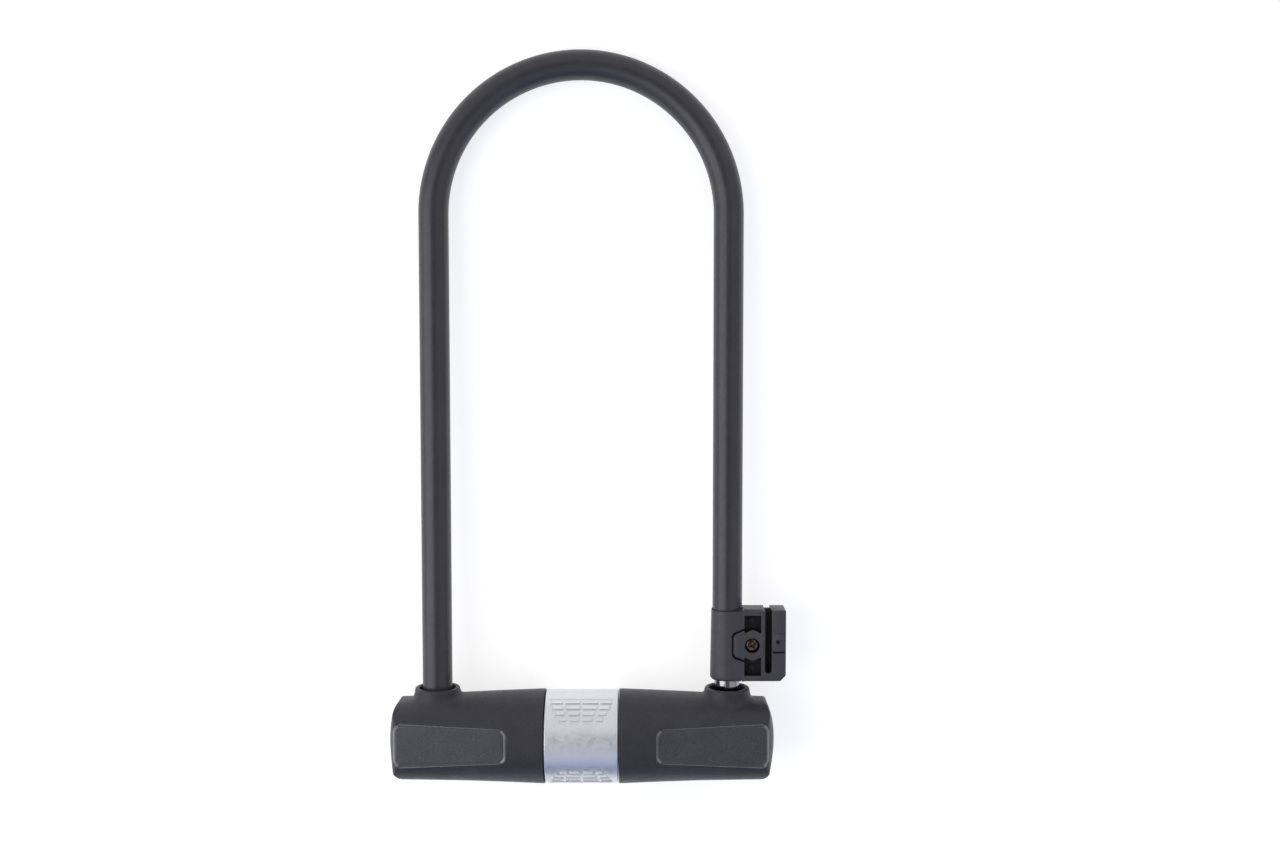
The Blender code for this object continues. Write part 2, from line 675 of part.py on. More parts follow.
def adapter_tongue_outline(margin):
    """The block's tongue where it laps the sleeve; margin widens it for the sleeve's window."""
    left = TONGUE_LEFT_X - margin
    right = BLOCK_X[0] + OVERSHOOT
    upper = [(left + x, half + margin) for x, half in TONGUE_SHOULDERS]
    upper.append((right, TONGUE_ROOT_HALF + margin))
    lower = [(x, -y) for x, y in reversed(upper)]
    return [(x, TONGUE_MID_Y + y) for x, y in lower + upper]


def leg_cylinder(name, finish, radius, span, segments=32, end_radius=None):
    return cylinder(name, finish, radius, span, "Y", (LEG_X, 0, 0), segments, end_radius)


def adapter_sleeve(finish):
    low, high = ADAPTER_SPAN
    sleeve = leg_cylinder("adapter_sleeve", finish, SLEEVE_R_FOOT, ADAPTER_SPAN, end_radius=SLEEVE_R_TOP)
    cheek_high = (CHEEK_END_X, high, CHEEK_HALF_Z)
    boolean(sleeve, box("cheeks", None, (LEG_X, low, -CHEEK_HALF_Z), cheek_high), "UNION")
    ears = box("clamp_ears", None, (LEG_X, EAR_SPAN[0], -EAR_HALF_Z), (EAR_END_X, EAR_SPAN[1], EAR_HALF_Z))
    boolean(sleeve, ears, "UNION")
    boolean(sleeve, leg_cylinder("sleeve_bore", None, SLEEVE_BORE_R, (low - OVERSHOOT, high + OVERSHOOT)))
    boolean(sleeve, leg_cylinder("coat_seat", None, COAT_SEAT_R, (COAT_SEAT_Y, high + OVERSHOOT)))
    split_low = (LEG_X, low - OVERSHOOT, -CLAMP_SPLIT / 2)
    split_high = (EAR_END_X + OVERSHOOT, high + OVERSHOOT, CLAMP_SPLIT / 2)
    boolean(sleeve, box("clamp_split", None, split_low, split_high))
    window_depth = 2 * BLOCK_HALF_Z - 2 * EAR_HALF_Z
    window = adapter_tongue_outline(CLEARANCE)
    at = (0, 0, EAR_HALF_Z + CLEARANCE + window_depth / 2)
    boolean(sleeve, plate("tongue_window", None, window, window_depth, at))
    span = (-BLOCK_HALF_Z, BLOCK_HALF_Z)
    boolean(sleeve, cylinder("ear_hole", None, SHANK_HOLE_R, span, "Z", (*SCREW_AT, 0), 16))


def block_outline():
    left, right = BLOCK_X
    low, high = ADAPTER_SPAN
    return [
        (left, low),
        (right - BLOCK_CHAMFER, low),
        (right, low + BLOCK_CHAMFER),
        (right, high),
        (left, high),
    ]


def window_outline(low, high, peak_side):
    """A window of the block, with the side nearest the screw raised to a shallow peak."""
    left, right = WINDOW_X
    middle = (left + right) / 2
    if peak_side == "low":
        return [(left, low), (middle, low + WINDOW_PEAK), (right, low), (right, high), (left, high)]
    return [(left, low), (right, low), (right, high), (middle, high - WINDOW_PEAK), (left, high)]


def adapter_block(finish):
    block = plate("adapter_block", finish, block_outline(), 2 * BLOCK_HALF_Z)
    edges = block.modifiers.new("edges", "BEVEL")
    edges.width = BLOCK_BEVEL
    edges.segments = 2
    edges.limit_method = "ANGLE"
    low, high = ADAPTER_SPAN
    around = (low - OVERSHOOT, high + OVERSHOOT)
    boolean(block, leg_cylinder("sleeve_trim", None, SLEEVE_R_FOOT + CLEARANCE, around))
    pocket_low = (LEG_X, EAR_SPAN[0] - CLEARANCE, -EAR_HALF_Z - CLEARANCE)
    pocket_high = (EAR_END_X + CLEARANCE, EAR_SPAN[1] + CLEARANCE, EAR_HALF_Z + CLEARANCE)
    boolean(block, box("ear_pocket", None, pocket_low, pocket_high))
    tongue_floor_z = EAR_HALF_Z + 2 * CLEARANCE
    tongue_depth = TONGUE_TOP_Z - tongue_floor_z
    at = (0, 0, tongue_floor_z + tongue_depth / 2)
    tongue = plate("block_tongue", None, adapter_tongue_outline(0), tongue_depth, at)
    boolean(tongue, leg_cylinder("tongue_floor", None, TONGUE_FLOOR_R, around))
    boolean(block, tongue, "UNION")
    for face, name in ((1, "front"), (-1, "back")):
        ends = sorted((face * WEB_HALF_Z, face * (BLOCK_HALF_Z + OVERSHOOT)))
        groove_low = (GROOVE_X[0], GROOVE_END_Y, ends[0])
        groove_high = (GROOVE_X[1], high + OVERSHOOT, ends[1])
        boolean(block, box(f"rail_groove_{name}", None, groove_low, groove_high))
    upper = window_outline(*WINDOW_UPPER, "low")
    lower = window_outline(*WINDOW_LOWER, "high")
    at = (0, 0, BLOCK_HALF_Z)
    boolean(block, plate("window_upper", None, upper, 2 * EAR_HALF_Z + OVERSHOOT, at))
    boolean(block, plate("window_lower", None, lower, 2 * EAR_HALF_Z + OVERSHOOT, at))
    at = (*SCREW_AT, 0)
    boolean(block, cylinder("screw_hole", None, SCREW_HOLE_R, (0, BLOCK_HALF_Z + OVERSHOOT), "Z", at, 24))
    span = (-BLOCK_HALF_Z - OVERSHOOT, 0)
    boolean(block, cylinder("shank_hole", None, SHANK_HOLE_R, span, "Z", at, 16))
    span = (-BLOCK_HALF_Z - OVERSHOOT, NUT_POCKET_Z)
    boolean(block, cylinder("nut_pocket", None, NUT_POCKET_R, span, "Z", at, 6))


def adapter_fasteners(finish):
    at = (*SCREW_AT, 0)
    screw = cylinder("adapter_screw", finish, SCREW_HEAD_R, SCREW_HEAD_Z, "Z", at, 24)
    shank_span = (SCREW_END_Z, SCREW_HEAD_Z[0] + CLEARANCE)
    boolean(screw, cylinder("screw_shank", None, SCREW_SHANK_R, shank_span, "Z", at, 16), "UNION")
    nut = cylinder("adapter_nut", finish, NUT_R, NUT_Z, "Z", at, 6)
    nut_span = (NUT_Z[0] - OVERSHOOT, NUT_Z[1] + OVERSHOOT)
    boolean(nut, cylinder("nut_bore", None, SHANK_HOLE_R, nut_span, "Z", at, 16))


def adapter_liner(finish):
    ring("adapter_liner", finish, LINER_R, LINER_SPAN, "Y", (LEG_X, 0, 0), 24)


def build():
    steel = material("bare_steel", (0.60, 0.60, 0.60), 0.28, 1.0)
    zinc = material("die_cast_zinc", (0.48, 0.49, 0.50), 0.42, 1.0)
    brass = material("brass", (0.72, 0.55, 0.27), 0.35, 1.0)
    spring = material("spring_steel", (0.42, 0.42, 0.43), 0.35, 1.0)
    vinyl = material("black_vinyl", (0.035, 0.034, 0.042), 0.42)
    cover_plastic = material("cover_plastic", (0.045, 0.044, 0.052), 0.55)
    adapter_plastic = material("adapter_plastic", (0.07, 0.068, 0.08), 0.5)
    silver = material("silver_plastic", (0.55, 0.55, 0.57), 0.32, 0.6)
    rubber = material("black_rubber", (0.02, 0.02, 0.022), 0.8)
    zinc_black = material("blackened_steel", (0.08, 0.07, 0.065), 0.35, 1.0)

    shackle_steel(steel)
    shackle_coat(vinyl)
    crossbar_tube(steel)
    tube_inserts(zinc, zinc)
    cover("left", -1, cover_plastic)
    cover("right", 1, cover_plastic)
    leg_seals(rubber)
    band_carrier(cover_plastic, spring)
    dust_band(silver)
    cylinder_housing(zinc)
    cylinder_pin(spring)
    cylinder_plug(brass)
    wafers(brass)
    plug_clip(spring)
    cam_disc(steel)
    bolts(steel, spring)
    adapter_sleeve(adapter_plastic)
    adapter_block(adapter_plastic)
    adapter_liner(rubber)
    adapter_fasteners(zinc_black)


build()
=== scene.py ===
"""The looks of a bicycle U lock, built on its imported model.

Shapes are laid out in the lock's own frame, in millimetres: X along the crossbar, Y along the
shackle's legs towards the crown, and Z out of the front. LOCK takes that frame to the model's."""

import json
import math

import bmesh
import bpy
import numpy as np
from mathutils import Matrix, Vector


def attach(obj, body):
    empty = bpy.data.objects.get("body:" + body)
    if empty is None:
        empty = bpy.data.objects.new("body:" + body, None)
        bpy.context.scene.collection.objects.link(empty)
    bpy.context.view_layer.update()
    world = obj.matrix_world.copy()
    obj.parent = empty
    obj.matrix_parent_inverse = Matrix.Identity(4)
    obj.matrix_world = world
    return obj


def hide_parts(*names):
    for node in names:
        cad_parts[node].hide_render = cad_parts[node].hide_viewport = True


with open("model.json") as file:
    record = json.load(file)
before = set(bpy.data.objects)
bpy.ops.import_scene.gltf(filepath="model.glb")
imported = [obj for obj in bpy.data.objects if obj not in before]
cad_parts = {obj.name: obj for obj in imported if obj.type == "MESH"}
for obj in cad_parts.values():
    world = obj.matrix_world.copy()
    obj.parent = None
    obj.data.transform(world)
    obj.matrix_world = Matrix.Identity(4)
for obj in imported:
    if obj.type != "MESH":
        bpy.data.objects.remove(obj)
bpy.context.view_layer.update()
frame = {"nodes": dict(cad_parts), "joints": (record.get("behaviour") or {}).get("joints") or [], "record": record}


# ---- The lock's frame and main sizes


def lock_matrix():
    """The lock frame, which the key cylinder's axis and the crossbar's own direction give."""
    joint = next(j for j in frame["joints"] if j["name"] == "plug_turn")
    along = Vector(joint["axis"]).normalized()
    across = Vector((1, 0, 0))
    turned = Matrix((across, along, across.cross(along))).transposed().to_4x4()
    return Matrix.Translation(joint["pos_m"]) @ turned @ Matrix.Scale(0.001, 4)


LOCK = lock_matrix()
TO_LOCK = LOCK.inverted()


def span(node):
    """A node's lowest and highest corners in the lock frame."""
    points = np.array([TO_LOCK @ v.co for v in frame["nodes"][node].data.vertices])
    return points.min(0), points.max(0)


STEEL_LOW, STEEL_HIGH = span("shackle_steel")
COAT_LOW, COAT_HIGH = span("shackle_coat")
STEEL_R = STEEL_HIGH[2]
COAT_R = COAT_HIGH[2]
COAT_WALL = 0.9
LEG_X = COAT_HIGH[0] - COAT_R
CROWN_Y = COAT_HIGH[1] - COAT_R - LEG_X
FOOT_Y = STEEL_LOW[1]
# The coat's lower end on each leg; the right one is inside the adapter
COAT_END = {-1: COAT_LOW[1], 1: 66.5}
COVER_LOW, COVER_HIGH = span("cover_right")
COVER_IN, COVER_OUT = COVER_LOW[0] + 0.25, COVER_HIGH[0]
COLLAR_TOP = COVER_HIGH[1]
BAND_HALF = span("dust_band")[1][0]
BAND_R = (23.8, 25.6)
CARRIER_HALF = span("band_carrier")[1][0]
CARRIER_R = (19.3, 23.4)
TUBE_HALF = span("crossbar_tube")[1][0]
TUBE_R = (16.0, 19.0)
LEG_HOLE_R = 7.6
CYLINDER_HOLE_R = 11.5
SIDES = {"left": -1, "right": 1}
AXES = {"X": 0, "Y": 1, "Z": 2}


# ---- Materials


def put(made, **values):
    """Sets a node's inputs, named with _ for a space, or its own settings."""
    for key, value in values.items():
        label = key.replace("_", " ")
        if label in made.inputs:
            made.inputs[label].default_value = value
        else:
            setattr(made, key, value)
    return made


def node(tree, kind, **values):
    return put(tree.nodes.new(kind), **values)


def noise(tree, coordinates, scale, detail=2.0, stretch=(1, 1, 1)):
    """A noise texture in the piece's own metres; scale is in waves to the metre."""
    mapping = node(tree, "ShaderNodeMapping", Scale=stretch)
    tree.links.new(coordinates.outputs["Object"], mapping.inputs["Vector"])
    texture = node(tree, "ShaderNodeTexNoise", Scale=scale, Detail=detail, Roughness=0.55)
    tree.links.new(mapping.outputs["Vector"], texture.inputs["Vector"])
    return texture.outputs["Fac"]


def between(tree, factor, low, high):
    """Maps a noise's middle range onto low to high."""
    mapped = node(tree, "ShaderNodeMapRange", clamp=True, From_Min=0.3, From_Max=0.7)
    put(mapped, To_Min=low, To_Max=high)
    tree.links.new(factor, mapped.inputs["Value"])
    return mapped.outputs["Result"]


FINISHES = {}


def surface(
    name, colour, roughness, metallic=0.0, specular=0.5, polish=0.06, mottle=0.12, mottle_scale=70,
    grain=0.02, grain_scale=2600, grain_colour=0.06, stretch=(1, 1, 1),
):
    """A moulded, painted or metal finish: slow colour mottle, fine grain in relief and colour,
    and a polish that varies a little from place to place. stretch draws the grain out in lines."""
    made = FINISHES[name] = bpy.data.materials.new(name)
    made.use_nodes = True
    tree = made.node_tree
    link = tree.links.new
    shader = put(tree.nodes["Principled BSDF"], Metallic=metallic, Specular_IOR_Level=specular)
    coordinates = node(tree, "ShaderNodeTexCoord")
    slow = noise(tree, coordinates, mottle_scale, 3)
    fine = noise(tree, coordinates, grain_scale, 2, stretch)
    middling = noise(tree, coordinates, mottle_scale * 6, 4, stretch)
    shade = node(tree, "ShaderNodeMath", operation="ADD")
    link(between(tree, slow, 1 - mottle, 1 + mottle), shade.inputs[0])
    link(between(tree, fine, -grain_colour, grain_colour), shade.inputs[1])
    tint = node(tree, "ShaderNodeVectorMath", operation="SCALE")
    tint.inputs[0].default_value = colour
    link(shade.outputs[0], tint.inputs["Scale"])
    link(tint.outputs["Vector"], shader.inputs["Base Color"])
    rough = between(tree, middling, roughness - polish, roughness + polish)
    link(rough, shader.inputs["Roughness"])
    bump = node(tree, "ShaderNodeBump", Strength=1.0, Distance=grain * 0.001)
    link(fine, bump.inputs["Height"])
    link(bump.outputs["Normal"], shader.inputs["Normal"])


surface("black_vinyl", (0.031, 0.0295, 0.036), 0.36, grain=0.015, grain_scale=1500, grain_colour=0.10)
surface(
    "cover_plastic", (0.036, 0.0345, 0.043), 0.46, specular=0.25, grain=0.08, grain_scale=1700,
    grain_colour=0.2,
)
surface(
    "cover_panel", (0.040, 0.039, 0.050), 0.44, specular=0.6, grain=0.16, grain_scale=1500,
    grain_colour=0.4,
)
# A lighter colour painted on the panels' edges as a highlight
surface("cover_edge", (0.155, 0.154, 0.170), 0.30, specular=0.7, grain_scale=2400)
surface("adapter_plastic", (0.040, 0.0385, 0.046), 0.50, grain=0.07, grain_scale=1900, grain_colour=0.15)
# A near black painted as shade into the adapter's recesses, windows and gaps
surface("adapter_recess", (0.012, 0.0115, 0.013), 0.60, specular=0.3, grain=0.05, grain_scale=2200)
surface(
    "silver_plastic", (0.72, 0.73, 0.75), 0.40, metallic=0.82, mottle=0.03, grain_scale=6000,
    grain_colour=0.05,
)
surface("black_rubber", (0.012, 0.012, 0.013), 0.75, grain=0.05, grain_scale=1800)
surface(
    "bare_steel", (0.31, 0.305, 0.32), 0.10, metallic=1.0, polish=0.03, mottle=0.05, grain=0.01,
    grain_scale=1500, stretch=(1, 0.12, 1),
)
surface(
    "tube_steel", (0.50, 0.50, 0.50), 0.34, metallic=1.0, mottle=0.10, grain_scale=2400,
    stretch=(1, 0.15, 1),
)
surface("die_cast_zinc", (0.50, 0.51, 0.53), 0.42, metallic=1.0, grain=0.04, grain_scale=1800)
surface("brass", (0.70, 0.52, 0.25), 0.30, metallic=1.0, mottle=0.08, grain=0.015)
surface("spring_steel", (0.40, 0.40, 0.41), 0.32, metallic=1.0, mottle=0.08, grain=0.01, grain_scale=3000)
# The strong, small mottle paints bright flecks into the colour as glints, over the steel's uneven dark tone
surface(
    "blackened_steel", (0.150, 0.120, 0.095), 0.14, metallic=1.0, mottle=0.95, mottle_scale=650,
    grain_scale=4000, grain_colour=0.25,
)
# Slots whose finish on carried-over nodes isn't the one of the same name
SLOT_FINISH = {"bare_steel": "tube_steel"}
HARD_EDGE = math.radians(35)


# ---- Objects and meshes


def linked(name, data):
    """A new object in the scene."""
    made = bpy.data.objects.new(name, data)
    bpy.context.scene.collection.objects.link(made)
    return made


def evaluated(base):
    """A new mesh from an object with its modifiers."""
    bpy.context.view_layer.update()
    graph = bpy.context.evaluated_depsgraph_get()
    return bpy.data.meshes.new_from_object(base.evaluated_get(graph))


# ---- Skins made of rings


class Skin:
    """Vertices and faces under construction, in the lock frame."""

    def __init__(self):
        self.points = np.zeros((0, 3))
        self.faces = []

    def add(self, points):
        """Adds points and gives their numbers."""
        first = len(self.points)
        self.points = np.vstack([self.points, np.asarray(points, float)])
        return list(range(first, len(self.points)))

    def join(self, row, following, closed=True):
        """Quads between two rows of equal count."""
        count = len(row)
        for i in range(count if closed else count - 1):
            j = (i + 1) % count
            self.faces.append((row[i], row[j], following[j], following[i]))

    def fan(self, row, point, last=False):
        """Triangles from a closed row to one point."""
        centre = self.add([point])[0]
        for i in range(len(row)):
            j = (i + 1) % len(row)
            self.faces.append((row[j], row[i], centre) if not last else (row[i], row[j], centre))

    def capped(self, rings, first, last):
        """Joins whole rings of points in turn, and each end to a point of its own."""
        rows = self.rows(rings)
        self.fan(rows[0], first)
        self.fan(rows[-1], last, last=True)

    def rows(self, rings, wrap=False):
        """Joins whole rings of points in turn, and the last to the first if wrap is set."""
        made = [self.add(ring) for ring in rings]
        for row, following in zip(made, made[1:]):
            self.join(row, following)
        if wrap:
            self.join(made[-1], made[0])
        return made

    def punch(self, rows, centre, radius, plane, on_side, drop):
        """Takes a round hole out of the faces on one side, seen square to a plane of two axes.
        The edge of what is left is drawn onto the circle, and drop puts it on the surface.
        Gives the hole's edge as vertices in order of angle, with their angles."""
        used = np.zeros(len(self.points), bool)
        used[[v for row in rows for v in row]] = True
        flat = self.points[:, plane] - centre
        distance = np.hypot(flat[:, 0], flat[:, 1])
        inside = used & (distance < radius) & on_side(self.points)
        kept, edge = [], set()
        for face in self.faces:
            if any(inside[v] for v in face) and all(used[v] for v in face):
                edge.update(v for v in face if not inside[v])
            else:
                kept.append(face)
        self.faces = kept
        on_kept = {v for face in kept for v in face}
        edge = np.array(sorted(edge & on_kept))
        angles = np.arctan2(flat[edge, 1], flat[edge, 0])
        order = np.argsort(angles)
        edge, angles = edge[order], angles[order]
        self.points[np.ix_(edge, plane)] = centre + radius * np.stack([np.cos(angles), np.sin(angles)], 1)
        self.points[edge] = drop(self.points[edge])
        return edge.tolist(), angles

    def zip(self, row_a, angles_a, row_b, angles_b):
        """Triangles between two closed rows of unlike count, both in order of angle."""
        i, j = 0, 0
        turn = math.tau
        next_a = np.append(angles_a[1:], angles_a[0] + turn)
        next_b = np.append(angles_b[1:], angles_b[0] + turn)
        while i < len(row_a) or j < len(row_b):
            a, b = row_a[i % len(row_a)], row_b[j % len(row_b)]
            if j >= len(row_b) or (i < len(row_a) and next_a[i] <= next_b[j]):
                self.faces.append((a, row_a[(i + 1) % len(row_a)], b))
                i += 1
            else:
                self.faces.append((a, row_b[(j + 1) % len(row_b)], b))
                j += 1


def finished(name, mesh, body, slot, nodes, finishes=None, sharp=40):
    """Puts a mesh in the model's frame and makes it a piece that stands for CAD nodes. It wears
    its slot's finish, unless finishes names others for the mesh's material indices."""
    finishes = finishes or [slot]
    mesh.transform(LOCK)
    bm = bmesh.new()
    bm.from_mesh(mesh)
    bmesh.ops.recalc_face_normals(bm, faces=bm.faces)
    bm.to_mesh(mesh)
    bm.free()
    mesh.shade_smooth()
    mesh.set_sharp_from_angle(angle=math.radians(sharp))
    kinds = np.zeros(len(mesh.polygons), np.int32)
    mesh.polygons.foreach_get("material_index", kinds)
    mesh.materials.clear()
    for finish in finishes:
        mesh.materials.append(FINISHES[finish])
    mesh.polygons.foreach_set("material_index", np.minimum(kinds, len(finishes) - 1))
    piece = linked(name, mesh)
    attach(piece, body)
    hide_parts(*nodes)
    return piece


def mesh_of(name, skin):
    mesh = bpy.data.meshes.new(name)
    mesh.from_pydata(skin.points.tolist(), [], skin.faces)
    return mesh


def full_turn(count):
    return np.linspace(0, math.tau, count, endpoint=False)


def ring_about_x(x, radius, angles):
    """A ring round X; angles run from the front towards the crown."""
    x = np.broadcast_to(x, angles.shape)
    return np.stack([x, radius * np.sin(angles), radius * np.cos(angles)], 1)


def ring_about_y(centre, radius, angles, y):
    """A ring round a line along Y; angles run from the right towards the front."""
    y = np.broadcast_to(y, angles.shape)
    return np.stack([centre[0] + radius * np.cos(angles), y, centre[1] + radius * np.sin(angles)], 1)


def round_corner(start, corner, end, radius, steps=5):
    """Points of an arc that rounds a corner of a (radius, height) profile."""
    start, corner, end = (np.array(p, float) for p in (start, corner, end))
    u = (start - corner) / np.linalg.norm(start - corner)
    v = (end - corner) / np.linalg.norm(end - corner)
    half = math.acos(np.clip(u @ v, -1, 1)) / 2
    reach = radius / math.tan(half)
    first, last = corner + u * reach, corner + v * reach
    middle = corner + (u + v) / np.linalg.norm(u + v) * radius / math.sin(half)
    share = np.linspace(0, 1, steps + 1)[:, None]
    chord = first + (last - first) * share - middle
    return middle + chord / np.linalg.norm(chord, axis=1)[:, None] * radius


def rounded_profile(points, radii, closed=True):
    """A profile whose corners are rounded, each by its own radius."""
    out = []
    count = len(points)
    for i, (point, radius) in enumerate(zip(points, radii)):
        if radius == 0 or (not closed and i in (0, count - 1)):
            out.append(np.array([point], float))
        else:
            out.append(round_corner(points[i - 1], point, points[(i + 1) % count], radius))
    return np.vstack(out)


def turned(profile, centre, axis, closed, sides=96):
    """A skin turned from (radius, height) points about a line along X, Y or Z."""
    skin = Skin()
    angles = full_turn(sides)
    rings = []
    for radius, height in profile:
        circle = np.stack([radius * np.cos(angles), radius * np.sin(angles)], 1)
        rings.append(np.insert(circle, AXES[axis], height, axis=1) + centre)
    if closed:
        skin.rows(rings, wrap=True)
    else:
        skin.capped(rings[1:-1], rings[0].mean(0), rings[-1].mean(0))
    return skin


def cut(mesh, cutters, operation="DIFFERENCE"):
    """The mesh after one exact Boolean with each cutter mesh in turn."""
    base = linked("base", mesh)
    tools = [linked("tool", cutter) for cutter in cutters]
    for tool in tools:
        step = base.modifiers.new("cut", "BOOLEAN")
        step.operation = operation
        step.object = tool
    made = evaluated(base)
    for obj in [base, *tools]:
        bpy.data.objects.remove(obj)
    return made


def softened(mesh, width, segments=2):
    """The mesh with its hard edges rounded."""
    base = linked("base", mesh)
    bevel = base.modifiers.new("soften", "BEVEL")
    bevel.width = width
    bevel.segments = segments
    bevel.limit_method = "ANGLE"
    bevel.angle_limit = HARD_EDGE
    made = evaluated(base)
    bpy.data.objects.remove(base)
    return made


def mark_painted_shade(mesh, within):
    """Paints shade: gives a mesh's second, darker finish to the faces whose middle is in a recess."""
    marks = [within(*face.center) for face in mesh.polygons]
    mesh.polygons.foreach_set("material_index", np.array(marks, np.int32))


def prism(outline, low, high, axis="Z"):
    """A closed solid from a flat outline between two heights on an axis."""
    outline = np.asarray(outline, float)
    bm = bmesh.new()
    rings = [np.insert(outline, AXES[axis], height, axis=1) for height in (low, high)]
    rows = [[bm.verts.new(point) for point in ring] for ring in rings]
    for i in range(len(outline)):
        j = (i + 1) % len(outline)
        bm.faces.new((rows[0][i], rows[0][j], rows[1][j], rows[1][i]))
    bm.faces.new(rows[0])
    bm.faces.new(rows[1])
    bmesh.ops.recalc_face_normals(bm, faces=bm.faces)
    mesh = bpy.data.meshes.new("prism")
    bm.to_mesh(mesh)
    bm.free()
    return mesh


def arc(centre, radius, start, end, steps):
    """Points along an arc between two angles in degrees."""
    angles = np.radians(np.linspace(start, end, steps + 1))
    return np.stack([centre[0] + radius * np.cos(angles), centre[1] + radius * np.sin(angles)], 1)


def box(low, high):
    outline = [(low[0], low[1]), (high[0], low[1]), (high[0], high[1]), (low[0], high[1])]
    return prism(outline, low[2], high[2])


def drum(centre, radius, low, high, axis="Z", sides=64):
    return prism(arc(centre, radius, 0, 360 - 360 / sides, sides - 1), low, high, axis)


# ---- Shackle

SWEEP_SIDES = 64
CROWN_STEPS = 120
LEG_STEPS = 30
COAT_LIP = 0.35
FOOT_CHAMFER = 1.4
# The notch for a bolt, from inside the U to this |x|, and its half width
NOTCH_X = 79.0
NOTCH_HALF = 6.5


def shackle_path(low_left, low_right):
    """Centres and sideways directions along both legs and the crown."""
    rows = [((-LEG_X, y), (-1.0, 0.0)) for y in low_left]
    for angle in np.linspace(math.pi, 0, CROWN_STEPS + 1):
        away = (math.cos(angle), math.sin(angle))
        rows.append(((LEG_X * away[0], CROWN_Y + LEG_X * away[1]), away))
    rows += [((LEG_X, y), (1.0, 0.0)) for y in low_right]
    return rows


def sweep_ring(row, radius):
    """A ring round the shackle's path, square to it."""
    centre, away = np.array(row[0]), np.array(row[1])
    angles = full_turn(SWEEP_SIDES)
    flat = centre + radius * np.cos(angles)[:, None] * away
    return np.column_stack([flat, radius * np.sin(angles)])


def shackle_coat():
    """The vinyl sleeve over the shackle, with a rolled lip at each end and its inner wall."""
    left, right = (np.linspace(COAT_END[side] + COAT_LIP, CROWN_Y, LEG_STEPS)[:-1] for side in (-1, 1))
    path = shackle_path(left, right[::-1])
    outer = [sweep_ring(row, COAT_R) for row in path]
    inner_r = COAT_R - COAT_WALL
    inner = [sweep_ring(row, inner_r) for row in path]
    caps = []
    for side, row in ((1, path[-1]), (-1, path[0])):
        end_y = COAT_END[side]
        corners = [(COAT_R, end_y + 1), (COAT_R, end_y), (inner_r, end_y), (inner_r, end_y + 1)]
        profile = rounded_profile(corners, [0, COAT_LIP, COAT_LIP, 0], closed=False)[1:-1]
        caps.append([sweep_ring(((side * LEG_X, y), row[1]), radius) for radius, y in profile])
    skin = Skin()
    skin.rows(outer + caps[0] + inner[::-1] + caps[1][::-1], wrap=True)
    mesh = mesh_of("coated_shackle", skin)
    finished("vinyl_sleeve", mesh, "shackle", "black_vinyl", ["shackle_coat"])


def shackle_steel():
    """The hardened bar with chamfered feet, and the notch that each bolt enters."""
    legs = [FOOT_Y + FOOT_CHAMFER, 0, 40]
    rings = [sweep_ring(row, STEEL_R) for row in shackle_path(legs, legs[::-1])]
    feet = [sweep_ring(((side * LEG_X, FOOT_Y), (side, 0)), STEEL_R - FOOT_CHAMFER) for side in (-1, 1)]
    rings = [feet[0], *rings, feet[1]]
    skin = Skin()
    skin.capped(rings, rings[0].mean(0), rings[-1].mean(0))
    mesh = mesh_of("bar", skin)
    tools = []
    past = STEEL_R + 2
    for side in (-1, 1):
        ends = sorted((side * (LEG_X - past), side * NOTCH_X))
        tools.append(box((ends[0], -NOTCH_HALF, -past), (ends[1], NOTCH_HALF, past)))
    mesh = softened(cut(mesh, tools), 0.25)
    finished("shackle_bar", mesh, "shackle", "bare_steel", ["shackle_steel"])


# ---- Covers

# |x|, height above the axis, height below it, depth, exponent of the section
COVER_SECTIONS = np.array(
    [
        (20.3, 25.99, 25.99, 25.99, 2.00),
        (41.0, 25.2, 25.1, 25.1, 2.00),
        (65.0, 23.9, 24.0, 24.4, 2.15),
        (92.0, 21.3, 23.1, 23.7, 2.45),
        (106.5, 20.6, 22.9, 23.4, 2.50),
    ]
)
SECTION_BLUR = 5.0
# The outer end: rounded edges, and a low dome between them
END_TURN = math.radians(75)
END_ROUND = {"top": 3.6, "bottom": 7.6, "face": 7.0}
MOST_CREASE = 3.5
DOME_X = 103.0
DOME_RISE = 3.5
COVER_BORE_R = 19.3
COVER_BORE_END = 99.3
# The sunk panel: x, its plane's distance from the axis and its half width, at two places
PANEL_IN = (40.7, 23.3, 9.6)
PANEL_OUT = (101.0, 20.8, 12.3)
PANEL_END = 102.4
PANEL_CORNER = 4.5
PANEL_WALL = 1.3
PANEL_GROOVE = 0.22
PANEL_FACING = 0.5
NO_PANEL = 99.0
# The edge painted lighter as a highlight: its width on the long sides, and how far round a corner the ends' one
# runs
PANEL_HIGHLIGHT_LINE = 0.28
END_HIGHLIGHT_TURN = 1.5
# The fine groove beside the band: its place, half width and depth
EDGE_LINE = (21.7, 0.35, 0.16)
# Distances between a cover's rings: in general, over the panel's inner wall and at that groove
BODY_STEP = 0.8
WALL_STEP = 0.2
GROOVE_STEP = 0.17
COLLAR_R = 12.55
COLLAR_BORE_R = 9.8
COLLAR_HOLE_R = 16.4


def section_at(x):
    """The cover's section sizes at x, with the joins between its straight runs blended."""
    offsets = np.linspace(-SECTION_BLUR, SECTION_BLUR, 11)
    first, last = COVER_SECTIONS[0], COVER_SECTIONS[-1]
    before = first + (first - COVER_SECTIONS[1]) * 0.6
    after = last + (last - COVER_SECTIONS[-2]) * 0.6
    table = np.vstack([before, COVER_SECTIONS, after])
    at = np.asarray(x, float)[..., None] + offsets
    return [np.interp(at, table[:, 0], table[:, k]).mean(-1) for k in range(1, 5)]


def panel_line(x, column):
    """The panel's plane (column 1) or half width (column 2) at x."""
    share = (x - PANEL_IN[0]) / (PANEL_OUT[0] - PANEL_IN[0])
    return PANEL_IN[column] + (PANEL_OUT[column] - PANEL_IN[column]) * share


